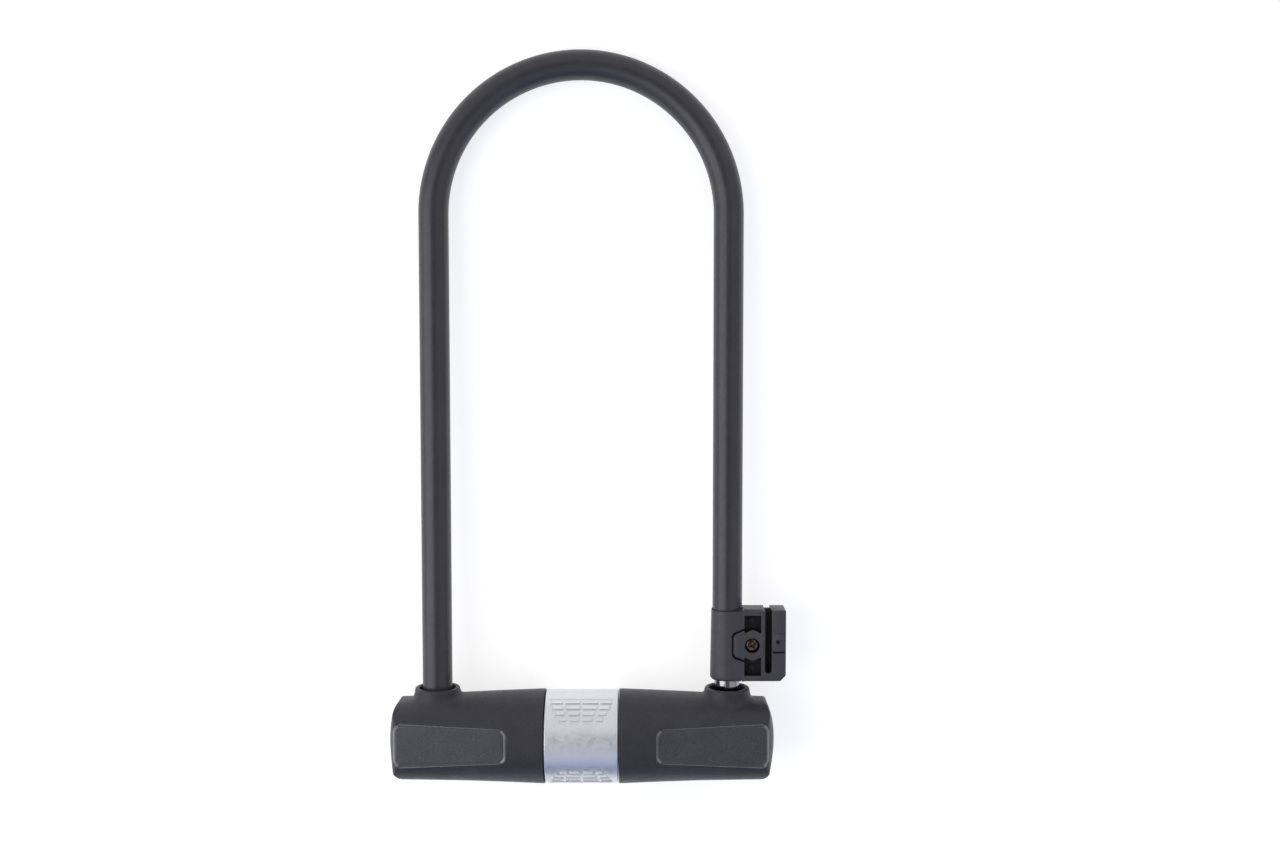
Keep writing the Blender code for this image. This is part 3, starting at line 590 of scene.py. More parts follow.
def kept_within(radius, x, size, rounding, share):
    """Limits a radius to what the rounded outer end leaves of the section's half size, with a
    soft crease that is wider where the end takes more away."""
    reach = np.maximum(0, x - (DOME_X - rounding * math.sin(END_TURN)))
    taken = rounding - np.sqrt(rounding**2 - reach**2)
    limit = (size - taken) / np.maximum(share, 0.01)
    crease = np.minimum(MOST_CREASE, taken) + 1e-6
    mix = np.clip(0.5 + 0.5 * (limit - radius) / crease, 0, 1)
    return limit + (radius - limit) * mix - crease * mix * (1 - mix)


def plain_radius(x, angle):
    """The cover's radius about X, without its panels."""
    above, below, depth, exponent = section_at(x)
    up, across = np.sin(angle), np.cos(angle)
    height = np.where(up > 0, above, below)
    radius = (np.abs(up / height) ** exponent + np.abs(across / depth) ** exponent) ** (-1 / exponent)
    edge = np.where(up > 0, END_ROUND["top"], END_ROUND["bottom"])
    radius = kept_within(radius, x, depth, END_ROUND["face"], np.abs(across))
    radius = kept_within(radius, x, height, edge, np.abs(up))
    line_x, line_half, line_depth = EDGE_LINE
    return radius - line_depth * np.clip(1 - np.abs(x - line_x) / line_half, 0, 1)


def cover_radius(x, angle):
    """The cover's radius about X, and each point's zone: 2 on the sunk panel, 1 on its edge, painted
    lighter as a highlight over the whole wall at both ends and a thin line on the long sides, and 0 elsewhere."""
    radius = plain_radius(x, angle)
    up, across = np.sin(angle), np.abs(np.cos(angle))
    plane = panel_line(x, 1)
    half = panel_line(x, 2)
    facing = across > PANEL_FACING
    flat_radius = np.where(facing, plane / np.maximum(across, PANEL_FACING), NO_PANEL)
    y = np.abs(flat_radius * up)
    from_end, from_side = np.minimum(x - PANEL_IN[0], PANEL_END - x), half - y
    corner = PANEL_CORNER - np.hypot(PANEL_CORNER - from_end, PANEL_CORNER - from_side)
    in_corner = (from_end < PANEL_CORNER) & (from_side < PANEL_CORNER)
    inside = np.where(in_corner, corner, np.minimum(from_end, from_side))
    inside = np.where(facing, inside, -1)
    step = np.clip(inside / PANEL_WALL, 0, 1)
    step = step**2 * (3 - 2 * step)
    sunk = np.maximum(0, radius - flat_radius)
    groove = PANEL_GROOVE * np.maximum(0, 1 - ((inside - PANEL_WALL / 2) / PANEL_WALL) ** 2)
    # The edge zone is painted lighter as a highlight
    highlight_at_end = (inside < PANEL_WALL) & (from_end < from_side + END_HIGHLIGHT_TURN)
    highlight_at_side = (inside < PANEL_HIGHLIGHT_LINE) & (from_side < PANEL_HIGHLIGHT_LINE)
    zone = np.where(inside > 0, np.where(highlight_at_end | highlight_at_side, 1, 2), 0)
    return radius - step * sunk - groove, zone


def cover_angles(x):
    """Ring angles from the front towards the crown, with lines kept on the panels' long edges."""
    held = max(x, PANEL_IN[0])
    edge = math.atan2(panel_line(held, 2), panel_line(held, 1))
    fine = np.array([0, 0.006, 0.016, 0.032])
    stops = [-edge, edge, math.pi - edge, math.pi + edge, math.tau - edge]
    counts = (62, 80, 62, 70)
    out = []
    for start, end, count in zip(stops, stops[1:], counts):
        share = np.concatenate([fine, np.linspace(0.045, 0.955, count), 1 - fine[:0:-1]])
        out.append(start + (end - start) * share)
    return np.concatenate(out)


def cover_top(points):
    """Draws points near a cover's top onto its surface, keeping their x and z."""
    points = points.copy()
    x, z = np.abs(points[:, 0]), points[:, 2]
    angle = np.full(len(points), math.pi / 2)
    for _ in range(30):
        height = np.sqrt(np.maximum(plain_radius(x, angle) ** 2 - z**2, 0))
        angle = np.arctan2(height, z)
    points[:, 1] = height
    return points


def bore_top(points):
    """Draws points onto the top of the cover's bore, keeping their x and z."""
    points = points.copy()
    points[:, 1] = np.sqrt(COVER_BORE_R**2 - points[:, 2] ** 2)
    return points


def cover_rows(side):
    """Rings over a cover's outside from the dome to its inner end, and their points' zones."""
    rings, zones = [], []
    for scale in np.linspace(0.08, 1, 16)[:-1]:
        angles = cover_angles(DOME_X)
        radius, _ = cover_radius(DOME_X, angles)
        radius = radius.mean() + (radius - radius.mean()) * scale**2
        x = DOME_X + DOME_RISE * (1 - scale**2)
        x = min(x, COVER_OUT - 0.01)
        rings.append(ring_about_x(side * x, radius * scale, angles))
        zones.append(np.zeros(angles.shape, int))
    turn = np.linspace(END_TURN, 0, 44)
    stations = DOME_X - END_ROUND["face"] * (math.sin(END_TURN) - np.sin(turn))
    body = np.arange(stations[-1] - BODY_STEP, PANEL_IN[0] + 7, -BODY_STEP)
    wall = np.arange(body[-1] - WALL_STEP, PANEL_IN[0] - 1.0, -WALL_STEP)
    inner = np.arange(wall[-1] - BODY_STEP, COVER_IN + 3.2, -BODY_STEP)
    last = np.arange(inner[-1] - 0.4, COVER_IN + 0.45, -GROOVE_STEP)
    for x in np.concatenate([stations, body, wall, inner, last]):
        angles = cover_angles(x)
        radius, zone = cover_radius(x, angles)
        rings.append(ring_about_x(side * x, radius, angles))
        zones.append(zone)
    return rings, zones


def collar_rings(side, angles):
    """Rings from the cover's surface up the collar, over its rim and down its bore."""
    centre = (side * LEG_X, 0)

    def on_cover(radius):
        return cover_top(ring_about_y(centre, radius, angles, 0))[:, 1]

    # Control points of the curve from the hole in the cover to the collar's wall
    base = on_cover(13.3)
    start = np.stack([np.full(angles.shape, COLLAR_HOLE_R), on_cover(COLLAR_HOLE_R)], 1)
    pull = np.stack([np.full(angles.shape, 13.6), on_cover(13.6) + 0.1], 1)
    rise = np.stack([np.full(angles.shape, 12.95), np.minimum(base + 1.7, 24.0)], 1)
    top = np.broadcast_to((COLLAR_R, COLLAR_TOP - 1.5), start.shape)
    rings = []
    for t in np.linspace(0, 1, 22)[1:]:
        mix = (1 - t) ** 3 * start + 3 * (1 - t) ** 2 * t * pull + 3 * (1 - t) * t**2 * rise + t**3 * top
        rings.append(ring_about_y(centre, mix[:, 0], angles, mix[:, 1]))
    corners = [(COLLAR_R, COLLAR_TOP - 1.6), (12.2, COLLAR_TOP), (10.1, COLLAR_TOP - 0.2)]
    corners += [(COLLAR_BORE_R, COLLAR_TOP - 2)]
    rim = rounded_profile(corners, [0, 0.95, 0.6, 0], closed=False)[1:]
    for radius, y in rim:
        rings.append(ring_about_y(centre, radius, angles, y))
    foot = bore_top(ring_about_y(centre, COLLAR_BORE_R, angles, 0))[:, 1]
    for share in (0.5, 1.0):
        y = rim[-1][1] + (foot - rim[-1][1]) * share
        rings.append(ring_about_y(centre, COLLAR_BORE_R, angles, y))
    return rings


def cover(name, side):
    """One moulded cover: its outside, the lip and bore at its inner end, and its collar."""
    skin = Skin()
    rings, zones = cover_rows(side)
    outer = skin.rows(rings)
    skin.fan(outer[0], (side * COVER_OUT, 0, 0))
    angles = cover_angles(COVER_IN)
    flat_radius, _ = cover_radius(COVER_IN, angles)
    lining = [(0.1, flat_radius - 0.12), (0, flat_radius - 0.45), (0, COVER_BORE_R + 0.3)]
    lip_rows = len(lining) + 1
    depths = [*np.arange(1.3, COVER_BORE_END - COVER_IN, 1.0), COVER_BORE_END - COVER_IN]
    lining += [(depth, COVER_BORE_R) for depth in [0.3, *depths]]
    inner = skin.rows([ring_about_x(side * (COVER_IN + depth), r, angles) for depth, r in lining])
    skin.join(outer[-1], inner[0])
    skin.fan(inner[-1], (side * COVER_BORE_END, 0, 0), last=True)
    centre = np.array([side * LEG_X, 0.0])
    plane = [0, 2]

    def upper(points):
        return points[:, 1] > 5

    edge, edge_angles = skin.punch(outer, centre, COLLAR_HOLE_R, plane, upper, cover_top)
    hole, hole_angles = skin.punch(inner[lip_rows:], centre, COLLAR_BORE_R, plane, upper, bore_top)
    rows = skin.rows(collar_rings(side, edge_angles))
    skin.join(edge, rows[0])
    skin.zip(rows[-1], edge_angles, hole, hole_angles)
    mesh = mesh_of(f"cover_{name}", skin)
    zone = np.zeros(len(skin.points), int)
    zone[[v for row in outer for v in row]] = np.concatenate(zones)
    kinds = [min(zone[v] for v in face) for face in skin.faces]
    mesh.polygons.foreach_set("material_index", np.array(kinds, np.int32))
    # The second finish, on the panel's edge, is a painted highlight
    finishes = ["cover_plastic", "cover_edge", "cover_panel"]
    finished(f"{name}_cover_shell", mesh, "crossbar", "cover_plastic", [f"cover_{name}"], finishes, 50)


# ---- Dust band, carrier and tube

BAND_EDGE = 0.5
WINDOW_R = 8.5
PIPE_CHAMFER = 0.3
PIPE_EDGE = 0.4
# The carrier's two troughs: from and to this |x|, and their depth
TROUGH = (7.5, 17.5, 0.25)
# The grip pads' angles and half widths, the angles at which their rows of ribs drop, and each
# row's half width, and the place and width of its side gaps
PAD_TOP = math.radians(65.5)
PAD_BOTTOM = math.radians(28.6)
PAD_HALF_WIDTHS = (9.5, 11.6, 13.0, 14.9, 16.3, 17.2, 17.5)
PAD_SINK = 0.35
PAD_MARGIN = 0.03
RIB_DROPS = np.radians([57.3, 48.6, 40.3, 32.6])
RIB_HALF_WIDTHS = (16.6, 15.5, 14.0, 11.7)
RIB_GAPS = ((9.7, 1.0), (9.2, 1.1), (8.1, 1.5), (7.1, 1.8))
RIB_RISE = 0.75
ROW_GAP = 0.012


def pad_height(x, angle):
    """Height of a grip pad over the band's plain surface: a sunk field with louvre-like ribs."""
    x = np.abs(x)
    rows = [PAD_BOTTOM, PAD_BOTTOM + PAD_MARGIN, *RIB_DROPS[::-1], PAD_TOP]
    outline = np.interp(angle, rows, PAD_HALF_WIDTHS)
    inside = np.minimum(outline - x, BAND_R[1] * np.minimum(angle - PAD_BOTTOM, PAD_TOP - angle))
    height = -PAD_SINK * np.clip(inside / 0.35, 0, 1)
    top = PAD_TOP - ROW_GAP
    for drop, half, (gap_at, gap) in zip(RIB_DROPS, RIB_HALF_WIDTHS, RIB_GAPS):
        down = (top - angle) / (top - drop)
        across = np.minimum(half - x, np.minimum(np.abs(x) - gap / 2, np.abs(x - gap_at) - gap / 2))
        within = np.minimum(across / 0.2, np.minimum(down * 12, (angle - drop) * BAND_R[1] / 0.12))
        height = height + RIB_RISE * np.clip(down, 0, 1) * np.clip(within, 0, 1)
        top = drop - ROW_GAP
    return height


def band_angles():
    """Ring angles, fine across the grip pads and at the back, where the window is."""
    low, high = PAD_BOTTOM - PAD_MARGIN, PAD_TOP + PAD_MARGIN
    pad = np.linspace(low, high, 150)
    front = np.linspace(-low, low, 26)[1:-1]
    back = np.linspace(high, math.tau - high, 190)[1:-1]
    return np.concatenate([front, pad, back, math.tau - pad[::-1]])


def pipe(radii, half, edge, angles, stations, relief=None):
    """A pipe about X as one closed skin. Gives the skin, its outer rows and its inner rows."""
    inner_r, outer_r = radii
    rings = []
    for x in stations:
        ease = edge - np.sqrt(max(0.0, edge**2 - max(0.0, abs(x) - (half - edge)) ** 2))
        radius = outer_r - ease
        if relief is not None:
            radius = radius + relief(x, angles)
        rings.append(ring_about_x(x, radius, angles))
    lining_half = half - PIPE_CHAMFER
    lining = [ring_about_x(x, inner_r, angles) for x in np.linspace(lining_half, -lining_half, 90)]
    far, near = (ring_about_x(x, inner_r + PIPE_CHAMFER, angles) for x in (half, -half))
    skin = Skin()
    rows = skin.rows([*rings, far, *lining, near], wrap=True)
    return skin, rows[: len(rings)], rows[len(rings) + 1 : -1]


def hole_through(skin, outer, inner, radii, x, radius, along, sign):
    """A round hole at x through one wall of a pipe, along axis 1 or 2 on its side of that sign."""
    other = 3 - along
    loops = []

    def on_side(points):
        return sign * points[:, along] > 0

    for rows, wall_r in ((outer, radii[1]), (inner, radii[0])):

        def drop(points, wall_r=wall_r):
            points = points.copy()
            points[:, along] = sign * np.sqrt(wall_r**2 - points[:, other] ** 2)
            return points

        loops.append(skin.punch(rows, np.array([x, 0.0]), radius, [0, other], on_side, drop))
    skin.zip(*loops[0], *loops[1])


def dust_band():
    """The band, with a grip pad above and below its middle and a window for the key."""

    def relief(x, angles):
        folded = np.where(angles > math.pi, math.tau - angles, np.abs(angles))
        return pad_height(x, folded)

    edges = BAND_HALF - BAND_EDGE * (1 - np.sin(np.linspace(0, math.pi / 2, 6)))
    stations = np.concatenate([-edges[::-1], np.arange(-BAND_HALF + 0.7, BAND_HALF - 0.6, 0.2), edges])
    skin, outer, inner = pipe(BAND_R, BAND_HALF, BAND_EDGE, band_angles(), stations, relief)
    hole_through(skin, outer, inner, BAND_R, 0, WINDOW_R, 2, -1)
    finished("silver_band", mesh_of("band", skin), "band", "silver_plastic", ["dust_band"], sharp=50)


def band_carrier():
    """The sleeve under the band, with a shallow trough on each side and the cylinder's hole."""

    def relief(x, angles):
        return -TROUGH[2] if TROUGH[0] < abs(x) < TROUGH[1] else 0.0

    stations = np.arange(-CARRIER_HALF, CARRIER_HALF + 0.01, 0.398)
    skin, outer, inner = pipe(CARRIER_R, CARRIER_HALF, PIPE_EDGE, full_turn(220), stations, relief)
    hole_through(skin, outer, inner, CARRIER_R, 0, CYLINDER_HOLE_R, 1, -1)
    finished("carrier_sleeve", mesh_of("carrier", skin), "crossbar", "cover_plastic", ["band_carrier"])


def crossbar_tube():
    """The steel tube, with a hole for each leg and one for the cylinder."""
    stations = np.linspace(-TUBE_HALF, TUBE_HALF, 200)
    skin, outer, inner = pipe(TUBE_R, TUBE_HALF, PIPE_EDGE, full_turn(160), stations)
    for side in (-1, 1):
        hole_through(skin, outer, inner, TUBE_R, side * LEG_X, LEG_HOLE_R, 1, 1)
    hole_through(skin, outer, inner, TUBE_R, 0, CYLINDER_HOLE_R, 1, -1)
    mesh = mesh_of("tube", skin)
    finished("steel_tube", mesh, "crossbar", "bare_steel", ["crossbar_tube"], ["tube_steel"])


def leg_seals():
    """A rubber ring in each collar's bore."""
    low, high = 19.6, 21.4
    corners = [(9.5, high), (9.5, low), (LEG_HOLE_R, low), (LEG_HOLE_R, high)]
    profile = rounded_profile(corners, [0.5, 0.3, 0.3, 0.85])
    for name, side in SIDES.items():
        mesh = mesh_of(f"seal_{name}", turned(profile, (side * LEG_X, 0, 0), "Y", closed=True))
        finished(f"{name}_seal", mesh, "crossbar", "black_rubber", [f"leg_seal_{name}"])


# ---- Key cylinder

HOUSING_R = 11.0
HOUSING_FACE = 23.0
HOUSING_BACK = -6.0
PLUG_BORE_R = 6.8
SEAT_R = 8.1
SEAT_Y = -20.1
PLUG_R = 6.5
FLANGE_R = 7.8
PLUG_FACE = -22.0
PLUG_BACK = -3.8
WAFER_SPANS = [span(f"wafer_{count}") for count in range(1, 6)]
WAFER_ROOM = 0.3
WAFER_HALF = WAFER_SPANS[0][1][0] + WAFER_ROOM
WAFER_GROOVE = 7.8


def cylinder_housing():
    """The zinc housing, whose face follows the carrier's curve round the plug's seat, and whose
    bore has grooves that the wafers enter."""
    angles = full_turn(96)
    chamfer = 0.3

    def face(radius, back=0.0):
        z = radius * np.sin(angles)
        y = -np.minimum(HOUSING_FACE, np.sqrt((CARRIER_R[1] - 0.05) ** 2 - z**2)) + back
        return ring_about_y((0, 0), radius, angles, y)

    rings = [ring_about_y((0, 0), HOUSING_R, angles, HOUSING_BACK - chamfer)]
    rings += [face(HOUSING_R, 0.5), face(HOUSING_R - 0.15, 0.12), face(HOUSING_R - 0.5)]
    rings += [face(r) for r in np.linspace(HOUSING_R - 0.8, SEAT_R + 0.5, 6)]
    rings += [face(SEAT_R + 0.2, 0.06), face(SEAT_R, 0.3)]
    bore = [(SEAT_R, SEAT_Y), (PLUG_BORE_R + 0.2, SEAT_Y), (PLUG_BORE_R, SEAT_Y + 0.2)]
    bore += [(PLUG_BORE_R, HOUSING_BACK - chamfer), (PLUG_BORE_R + chamfer, HOUSING_BACK)]
    bore += [(HOUSING_R - chamfer, HOUSING_BACK)]
    rings += [ring_about_y((0, 0), r, angles, y) for r, y in bore]
    skin = Skin()
    skin.rows(rings, wrap=True)
    near, far = WAFER_SPANS[0][0][1] - 0.7, WAFER_SPANS[-1][1][1] + 0.7
    upright = box((-WAFER_HALF, near, -WAFER_GROOVE), (WAFER_HALF, far, WAFER_GROOVE))
    across = box((-WAFER_GROOVE, near, -WAFER_HALF), (WAFER_GROOVE, far, WAFER_HALF))
    mesh = cut(mesh_of("housing", skin), [upright, across])
    finished("cylinder_body", mesh, "crossbar", "die_cast_zinc", ["cylinder_housing"])


def cylinder_plug():
    """The brass plug: a flange, slots for the wafers, and a keyway with one ward rib."""
    flange_back = PLUG_FACE + 1.6
    corners = [(0, PLUG_FACE), (3.6, PLUG_FACE), (FLANGE_R, PLUG_FACE), (FLANGE_R, flange_back)]
    corners += [(PLUG_R, flange_back), (PLUG_R, PLUG_BACK), (0, PLUG_BACK)]
    profile = rounded_profile(corners, [0, 0, 0.5, 0.2, 0, 0.3, 0], closed=False)
    skin = turned(profile, (0, 0, 0), "Y", closed=False)
    half, tall, rib = 1.3, 4.2, 0.5
    keyway = [(-half, -tall), (half, -tall), (half, -0.4), (rib, 0.1)]
    keyway += [(rib, 1.3), (half, 1.8), (half, tall), (-half, tall)]
    tools = [prism(keyway, PLUG_FACE - 2, -6.8, "Y")]
    past = PLUG_R + 1.5
    for low, high in WAFER_SPANS:
        near, far = low[1] - WAFER_ROOM, high[1] + WAFER_ROOM
        tools.append(box((-WAFER_HALF, near, -past), (WAFER_HALF, far, past)))
    mesh = softened(cut(mesh_of("plug", skin), tools), 0.12)
    finished("brass_plug", mesh, "plug", "brass", ["cylinder_plug"])


# ---- Carrier adapter

ADAPTER_LOW, ADAPTER_TOP = span("adapter_block")[0][1], span("adapter_block")[1][1]
BLOCK_RIGHT = span("adapter_block")[1][0]
BLOCK_LEFT = 88.1
BLOCK_FACE = 8.5
SLEEVE_EDGE = 88.04
EAR_FACE = 3.0
TONGUE_Y = 52.6
SCREW = (93.9, 52.4)
SCREW_HOLE_R = 2.6
NUT_R = 4.0
BLOCK_BORE_R = 8.6
SLEEVE_BORE_R = (8.3, 8.65)
SLEEVE_BORE_STEP = 66.0
# The tip of the block's tongue, and of the sleeve's window for it
TONGUE_TIP = 83.55
TONGUE_WINDOW_TIP = 82.5
# The rail's groove, the windows above and below the tongue, and the rail's latch line and dimple
GROOVE_X = 102.75
GROOVE_HALF = 1.85
GROOVE_END = 38.75
GROOVE_FLOOR = 1.2
WINDOW_X = (89.5, 98.7)
WINDOW_END = {1: 16.6, -1: 17.0}
LATCH_X = 105.3
LATCH_Y = (48.2, 49.3)
DIMPLE = (107.9, 54.5)
DIMPLE_R = 1.15
# A height that is past every face of the adapter
OUTSIDE = 12
# The adapter's plastic, and the darker one painted as shade into its recesses
WITH_PAINTED_SHADE = ["adapter_plastic", "adapter_recess"]


def tongue_outline(left, grow):
    """The clamp tongue's outline, wide at its root and with angled shoulders at its tip."""
    half = [(left, 4.7), (left + 0.4, 5.8), (left + 1.6, 6.9), (BLOCK_LEFT + 2, 8.9)]
    upper = [(x, TONGUE_Y + y + grow) for x, y in half]
    return upper + [(x, TONGUE_Y - y - grow) for x, y in reversed(half)]


def sleeve_ring(y, radius, corner):
    """The sleeve's section: round on the left, and drawn out flat to meet the block's faces."""
    back = arc((LEG_X, 0), radius, 90, 270, 48)
    share = np.linspace(0, 1, 13)[1:]
    reach = SLEEVE_EDGE - corner - LEG_X
    face = BLOCK_FACE - corner
    x = LEG_X + reach * share
    z = radius + (face - radius) * share**2
    lower = np.stack([x, -z], 1)
    upper = np.stack([x, z], 1)[::-1]
    outline = np.vstack([back, lower, upper])
    return np.insert(outline, 1, y, axis=1)


def adapter_sleeve():
    """The clamp round the leg, slit on its right, with two ears that the screw draws together."""
    height = ADAPTER_TOP - ADAPTER_LOW
    rings = []
    ends = [(0.0, 0.9), (0.5, 0.45), (1.0, 0.12), (1.3, 0.0)]
    stations = [(ADAPTER_LOW + rise, inset) for rise, inset in ends]
    stations += [(ADAPTER_LOW + height * share, 0.0) for share in np.linspace(0.1, 0.95, 12)]
    stations += [(ADAPTER_TOP - 0.75, 0.0), (ADAPTER_TOP - 0.6, 0.06), (ADAPTER_TOP, 0.35)]
    for y, inset in stations:
        radius = 9.5 - 0.65 * (y - ADAPTER_LOW) / height - inset
        rings.append(sleeve_ring(y, radius, min(inset, 0.25)))
    skin = Skin()
    skin.capped(rings, rings[0].mean(0), rings[-1].mean(0))
    mesh = mesh_of("sleeve", skin)
    ears = box((LEG_X, ADAPTER_LOW + 1.8, -EAR_FACE), (99.2, ADAPTER_TOP - 2, EAR_FACE))
    mesh = cut(mesh, [ears], "UNION")
    tools = [
        drum((LEG_X, 0), SLEEVE_BORE_R[0], ADAPTER_LOW - 1, ADAPTER_TOP + 1, "Y", 96),
        drum((LEG_X, 0), SLEEVE_BORE_R[1], SLEEVE_BORE_STEP, ADAPTER_TOP + 1, "Y", 96),
        prism(tongue_outline(TONGUE_WINDOW_TIP, 0.5), EAR_FACE + 0.4, OUTSIDE),
        box((LEG_X, ADAPTER_LOW - 1, -0.4), (101, ADAPTER_TOP + 1, 0.4)),
        drum(SCREW, SCREW_HOLE_R, -OUTSIDE, OUTSIDE),
    ]
    mesh = softened(cut(mesh, tools), 0.14)

    # Painted shade: the darker finish in the tongue's window and on the ears in the slit
    def in_painted_shade(x, y, z):
        in_window = x > TONGUE_WINDOW_TIP + 0.4 and 2.0 < z < 8.0 and abs(y - TONGUE_Y) < 9.2
        on_ears = x > SLEEVE_EDGE - 0.3
        # A band round the sleeve's top, painted dark as a shadow line against the vinyl
        painted_top_shadow = y > ADAPTER_TOP - 0.9 and x < SLEEVE_EDGE - 0.5
        return in_window or on_ears or painted_top_shadow

    mark_painted_shade(mesh, in_painted_shade)
    finished("adapter_clamp_sleeve", mesh, "shackle", "adapter_plastic", ["adapter_sleeve"], WITH_PAINTED_SHADE)


def window_outline(side):
    """The block's window above or below the tongue, with a peak that stands into it."""
    left, right = WINDOW_X
    end = WINDOW_END[side]
    outline = [(left, 6.6), ((left + right) / 2, 8.7), (right, 6.6), (right, end), (left, end)]
    return [(x, TONGUE_Y + side * y) for x, y in outline]


def adapter_block():
    """The block that slides into the frame bracket, with its rail grooves and windows."""
    chamfer = 3.0
    outline = [(BLOCK_LEFT, ADAPTER_LOW), (BLOCK_RIGHT - chamfer, ADAPTER_LOW)]
    outline += [(BLOCK_RIGHT, ADAPTER_LOW + chamfer), (BLOCK_RIGHT, ADAPTER_TOP)]
    outline += [(BLOCK_LEFT, ADAPTER_TOP)]
    mesh = softened(prism(outline, -BLOCK_FACE, BLOCK_FACE), 0.6, 3)
    square = box((BLOCK_LEFT, ADAPTER_LOW, -BLOCK_FACE), (BLOCK_LEFT + 1.5, ADAPTER_TOP, BLOCK_FACE))
    pad = box((LATCH_X, LATCH_Y[1], 8.0), (111.2, 59.2, BLOCK_FACE + 0.25))
    tongue = prism(tongue_outline(TONGUE_TIP, -0.45), EAR_FACE + 0.6, BLOCK_FACE + 0.1)
    nub = drum((91.2, 5.6), 0.5, ADAPTER_TOP - 0.5, ADAPTER_TOP + 0.35, "Y", 20)
    step = box((89.6, ADAPTER_TOP - 0.5, 1.0), (99.6, ADAPTER_TOP + 0.25, 7.6))
    boss = drum(DIMPLE, 1.7, 8.0, BLOCK_FACE + 0.45, sides=32)
    mesh = cut(mesh, [square, pad, boss, tongue, nub, step], "UNION")
    groove_top = [(GROOVE_X + GROOVE_HALF, 80.0), (GROOVE_X - GROOVE_HALF, 80.0)]
    groove = np.vstack([arc((GROOVE_X, GROOVE_END), GROOVE_HALF, 180, 360, 16), groove_top])
    tools = [
        drum((LEG_X, 0), BLOCK_BORE_R, ADAPTER_LOW - 1, ADAPTER_TOP + 1, "Y", 96),
        box((LEG_X, ADAPTER_LOW + 1.5, -EAR_FACE - 0.3), (99.5, ADAPTER_TOP - 1.7, EAR_FACE + 0.3)),
        prism(groove, GROOVE_FLOOR, OUTSIDE),
        prism(groove, -OUTSIDE, -GROOVE_FLOOR),
        prism(window_outline(1), 1, OUTSIDE),
        prism(window_outline(-1), 1, OUTSIDE),
        drum(SCREW, 4.1, 0, OUTSIDE),
        drum(SCREW, SCREW_HOLE_R, -OUTSIDE, 0),
        drum(SCREW, NUT_R + 0.4, -OUTSIDE, -5.7, sides=6),
        drum(DIMPLE, DIMPLE_R, 7.0, OUTSIDE, sides=32),
        box((LATCH_X, LATCH_Y[0], 7.2), (111.6, LATCH_Y[1], OUTSIDE)),
    ]
    gap = [(87, 7.5), (89.9, 8.3), (89.9, 9.4), (87, 8.6)]
    tools += [prism([(x, TONGUE_Y + side * y) for x, y in gap], 4, OUTSIDE) for side in (1, -1)]
    mesh = softened(cut(mesh, tools), 0.16)
    pins = [drum((94.1, y), 1.6, 1.0, 3.9, sides=32) for y in (66.0, 39.4)]
    mesh = cut(mesh, pins, "UNION")

    # Painted shade: the darker finish in the windows, the rail's groove, the gaps by the tongue, the latch line,
    # the dimple and the root by the sleeve
    def in_painted_shade(x, y, z):
        up = y - TONGUE_Y
        beside_tongue = -WINDOW_END[-1] - 0.3 < up < WINDOW_END[1] + 0.3
        in_window = WINDOW_X[0] - 0.3 < x < WINDOW_X[1] + 0.3 and beside_tongue
        in_groove = abs(x - GROOVE_X) < GROOVE_HALF + 0.2 and y > GROOVE_END - GROOVE_HALF - 0.2
        in_gap = x < 90.2 and 7.2 < abs(up) < 9.7 and z > 3.5
        in_line = x > LATCH_X - 0.3 and LATCH_Y[0] - 0.1 < y < LATCH_Y[1] + 0.1 and z > 7
        in_dimple = math.hypot(x - DIMPLE[0], y - DIMPLE[1]) < DIMPLE_R + 0.15 and z > 7
        on_root = x < 89.0 and abs(z) < 8.2 and ADAPTER_LOW + 0.8 < y < ADAPTER_TOP - 0.8
        deep = abs(z) < BLOCK_FACE - 0.15
        return deep and (in_window or in_groove or in_gap or in_line or in_dimple or on_root)

    mark_painted_shade(mesh, in_painted_shade)
    finished("adapter_rail_block", mesh, "shackle", "adapter_plastic", ["adapter_block"], WITH_PAINTED_SHADE)


def adapter_screw():
    """A pan-head screw with a cross recess."""
    shank, under_head, tip = 2.2, 4.3, -7.8
    corners = [(0, 7.25), (3.55, 6.7), (3.6, under_head), (shank, under_head), (shank, tip), (0, tip)]
    profile = rounded_profile(corners, [0, 0.9, 0.15, 0, 0.4, 0], closed=False)
    skin = turned(profile, (*SCREW, 0), "Z", closed=False, sides=64)
    blades = []
    for degrees in (35, 125):
        blade = prism([(-2.2, 8.0), (2.2, 8.0), (0.9, 5.2), (-0.9, 5.2)], -0.55, 0.55, "Y")
        turn = Matrix.Rotation(math.radians(degrees), 4, "Z")
        blade.transform(Matrix.Translation((*SCREW, 0)) @ turn)
        blades.append(blade)
    mesh = softened(cut(mesh_of("screw", skin), blades), 0.08)
    finished("adapter_clamp_screw", mesh, "shackle", "blackened_steel", ["adapter_screw"])


def adapter_nut():
    """The screw's hexagonal nut, in its pocket at the back."""
    mesh = softened(prism(arc(SCREW, NUT_R, 0, 300, 5), -8.2, -6.0), 0.3)
    mesh = cut(mesh, [drum(SCREW, 2.45, -9, -5)])
    finished("adapter_clamp_nut", mesh, "shackle", "blackened_steel", ["adapter_nut"])


def adapter_liner():
    """The rubber liner between the leg's steel and the clamp."""
    low, high = 34.0, 65.5
    corners = [(7.9, high), (7.9, low), (7.25, low), (7.25, high)]
    skin = turned(rounded_profile(corners, [0.2] * 4), (LEG_X, 0, 0), "Y", closed=True)
    finished("adapter_rubber_liner", mesh_of("liner", skin), "shackle", "black_rubber", ["adapter_liner"])


# ---- Stage, light and camera

FLOOR_HALF = 6.0
# Each light's name, place, size and watts
LIGHTS = (
    ("left_box", (-1.12, -0.07, 0.99), (1.2, 1.8), 15.0),
    ("right_box", (1.15, 0.1, 0.96), (1.7, 1.8), 5.0),
)
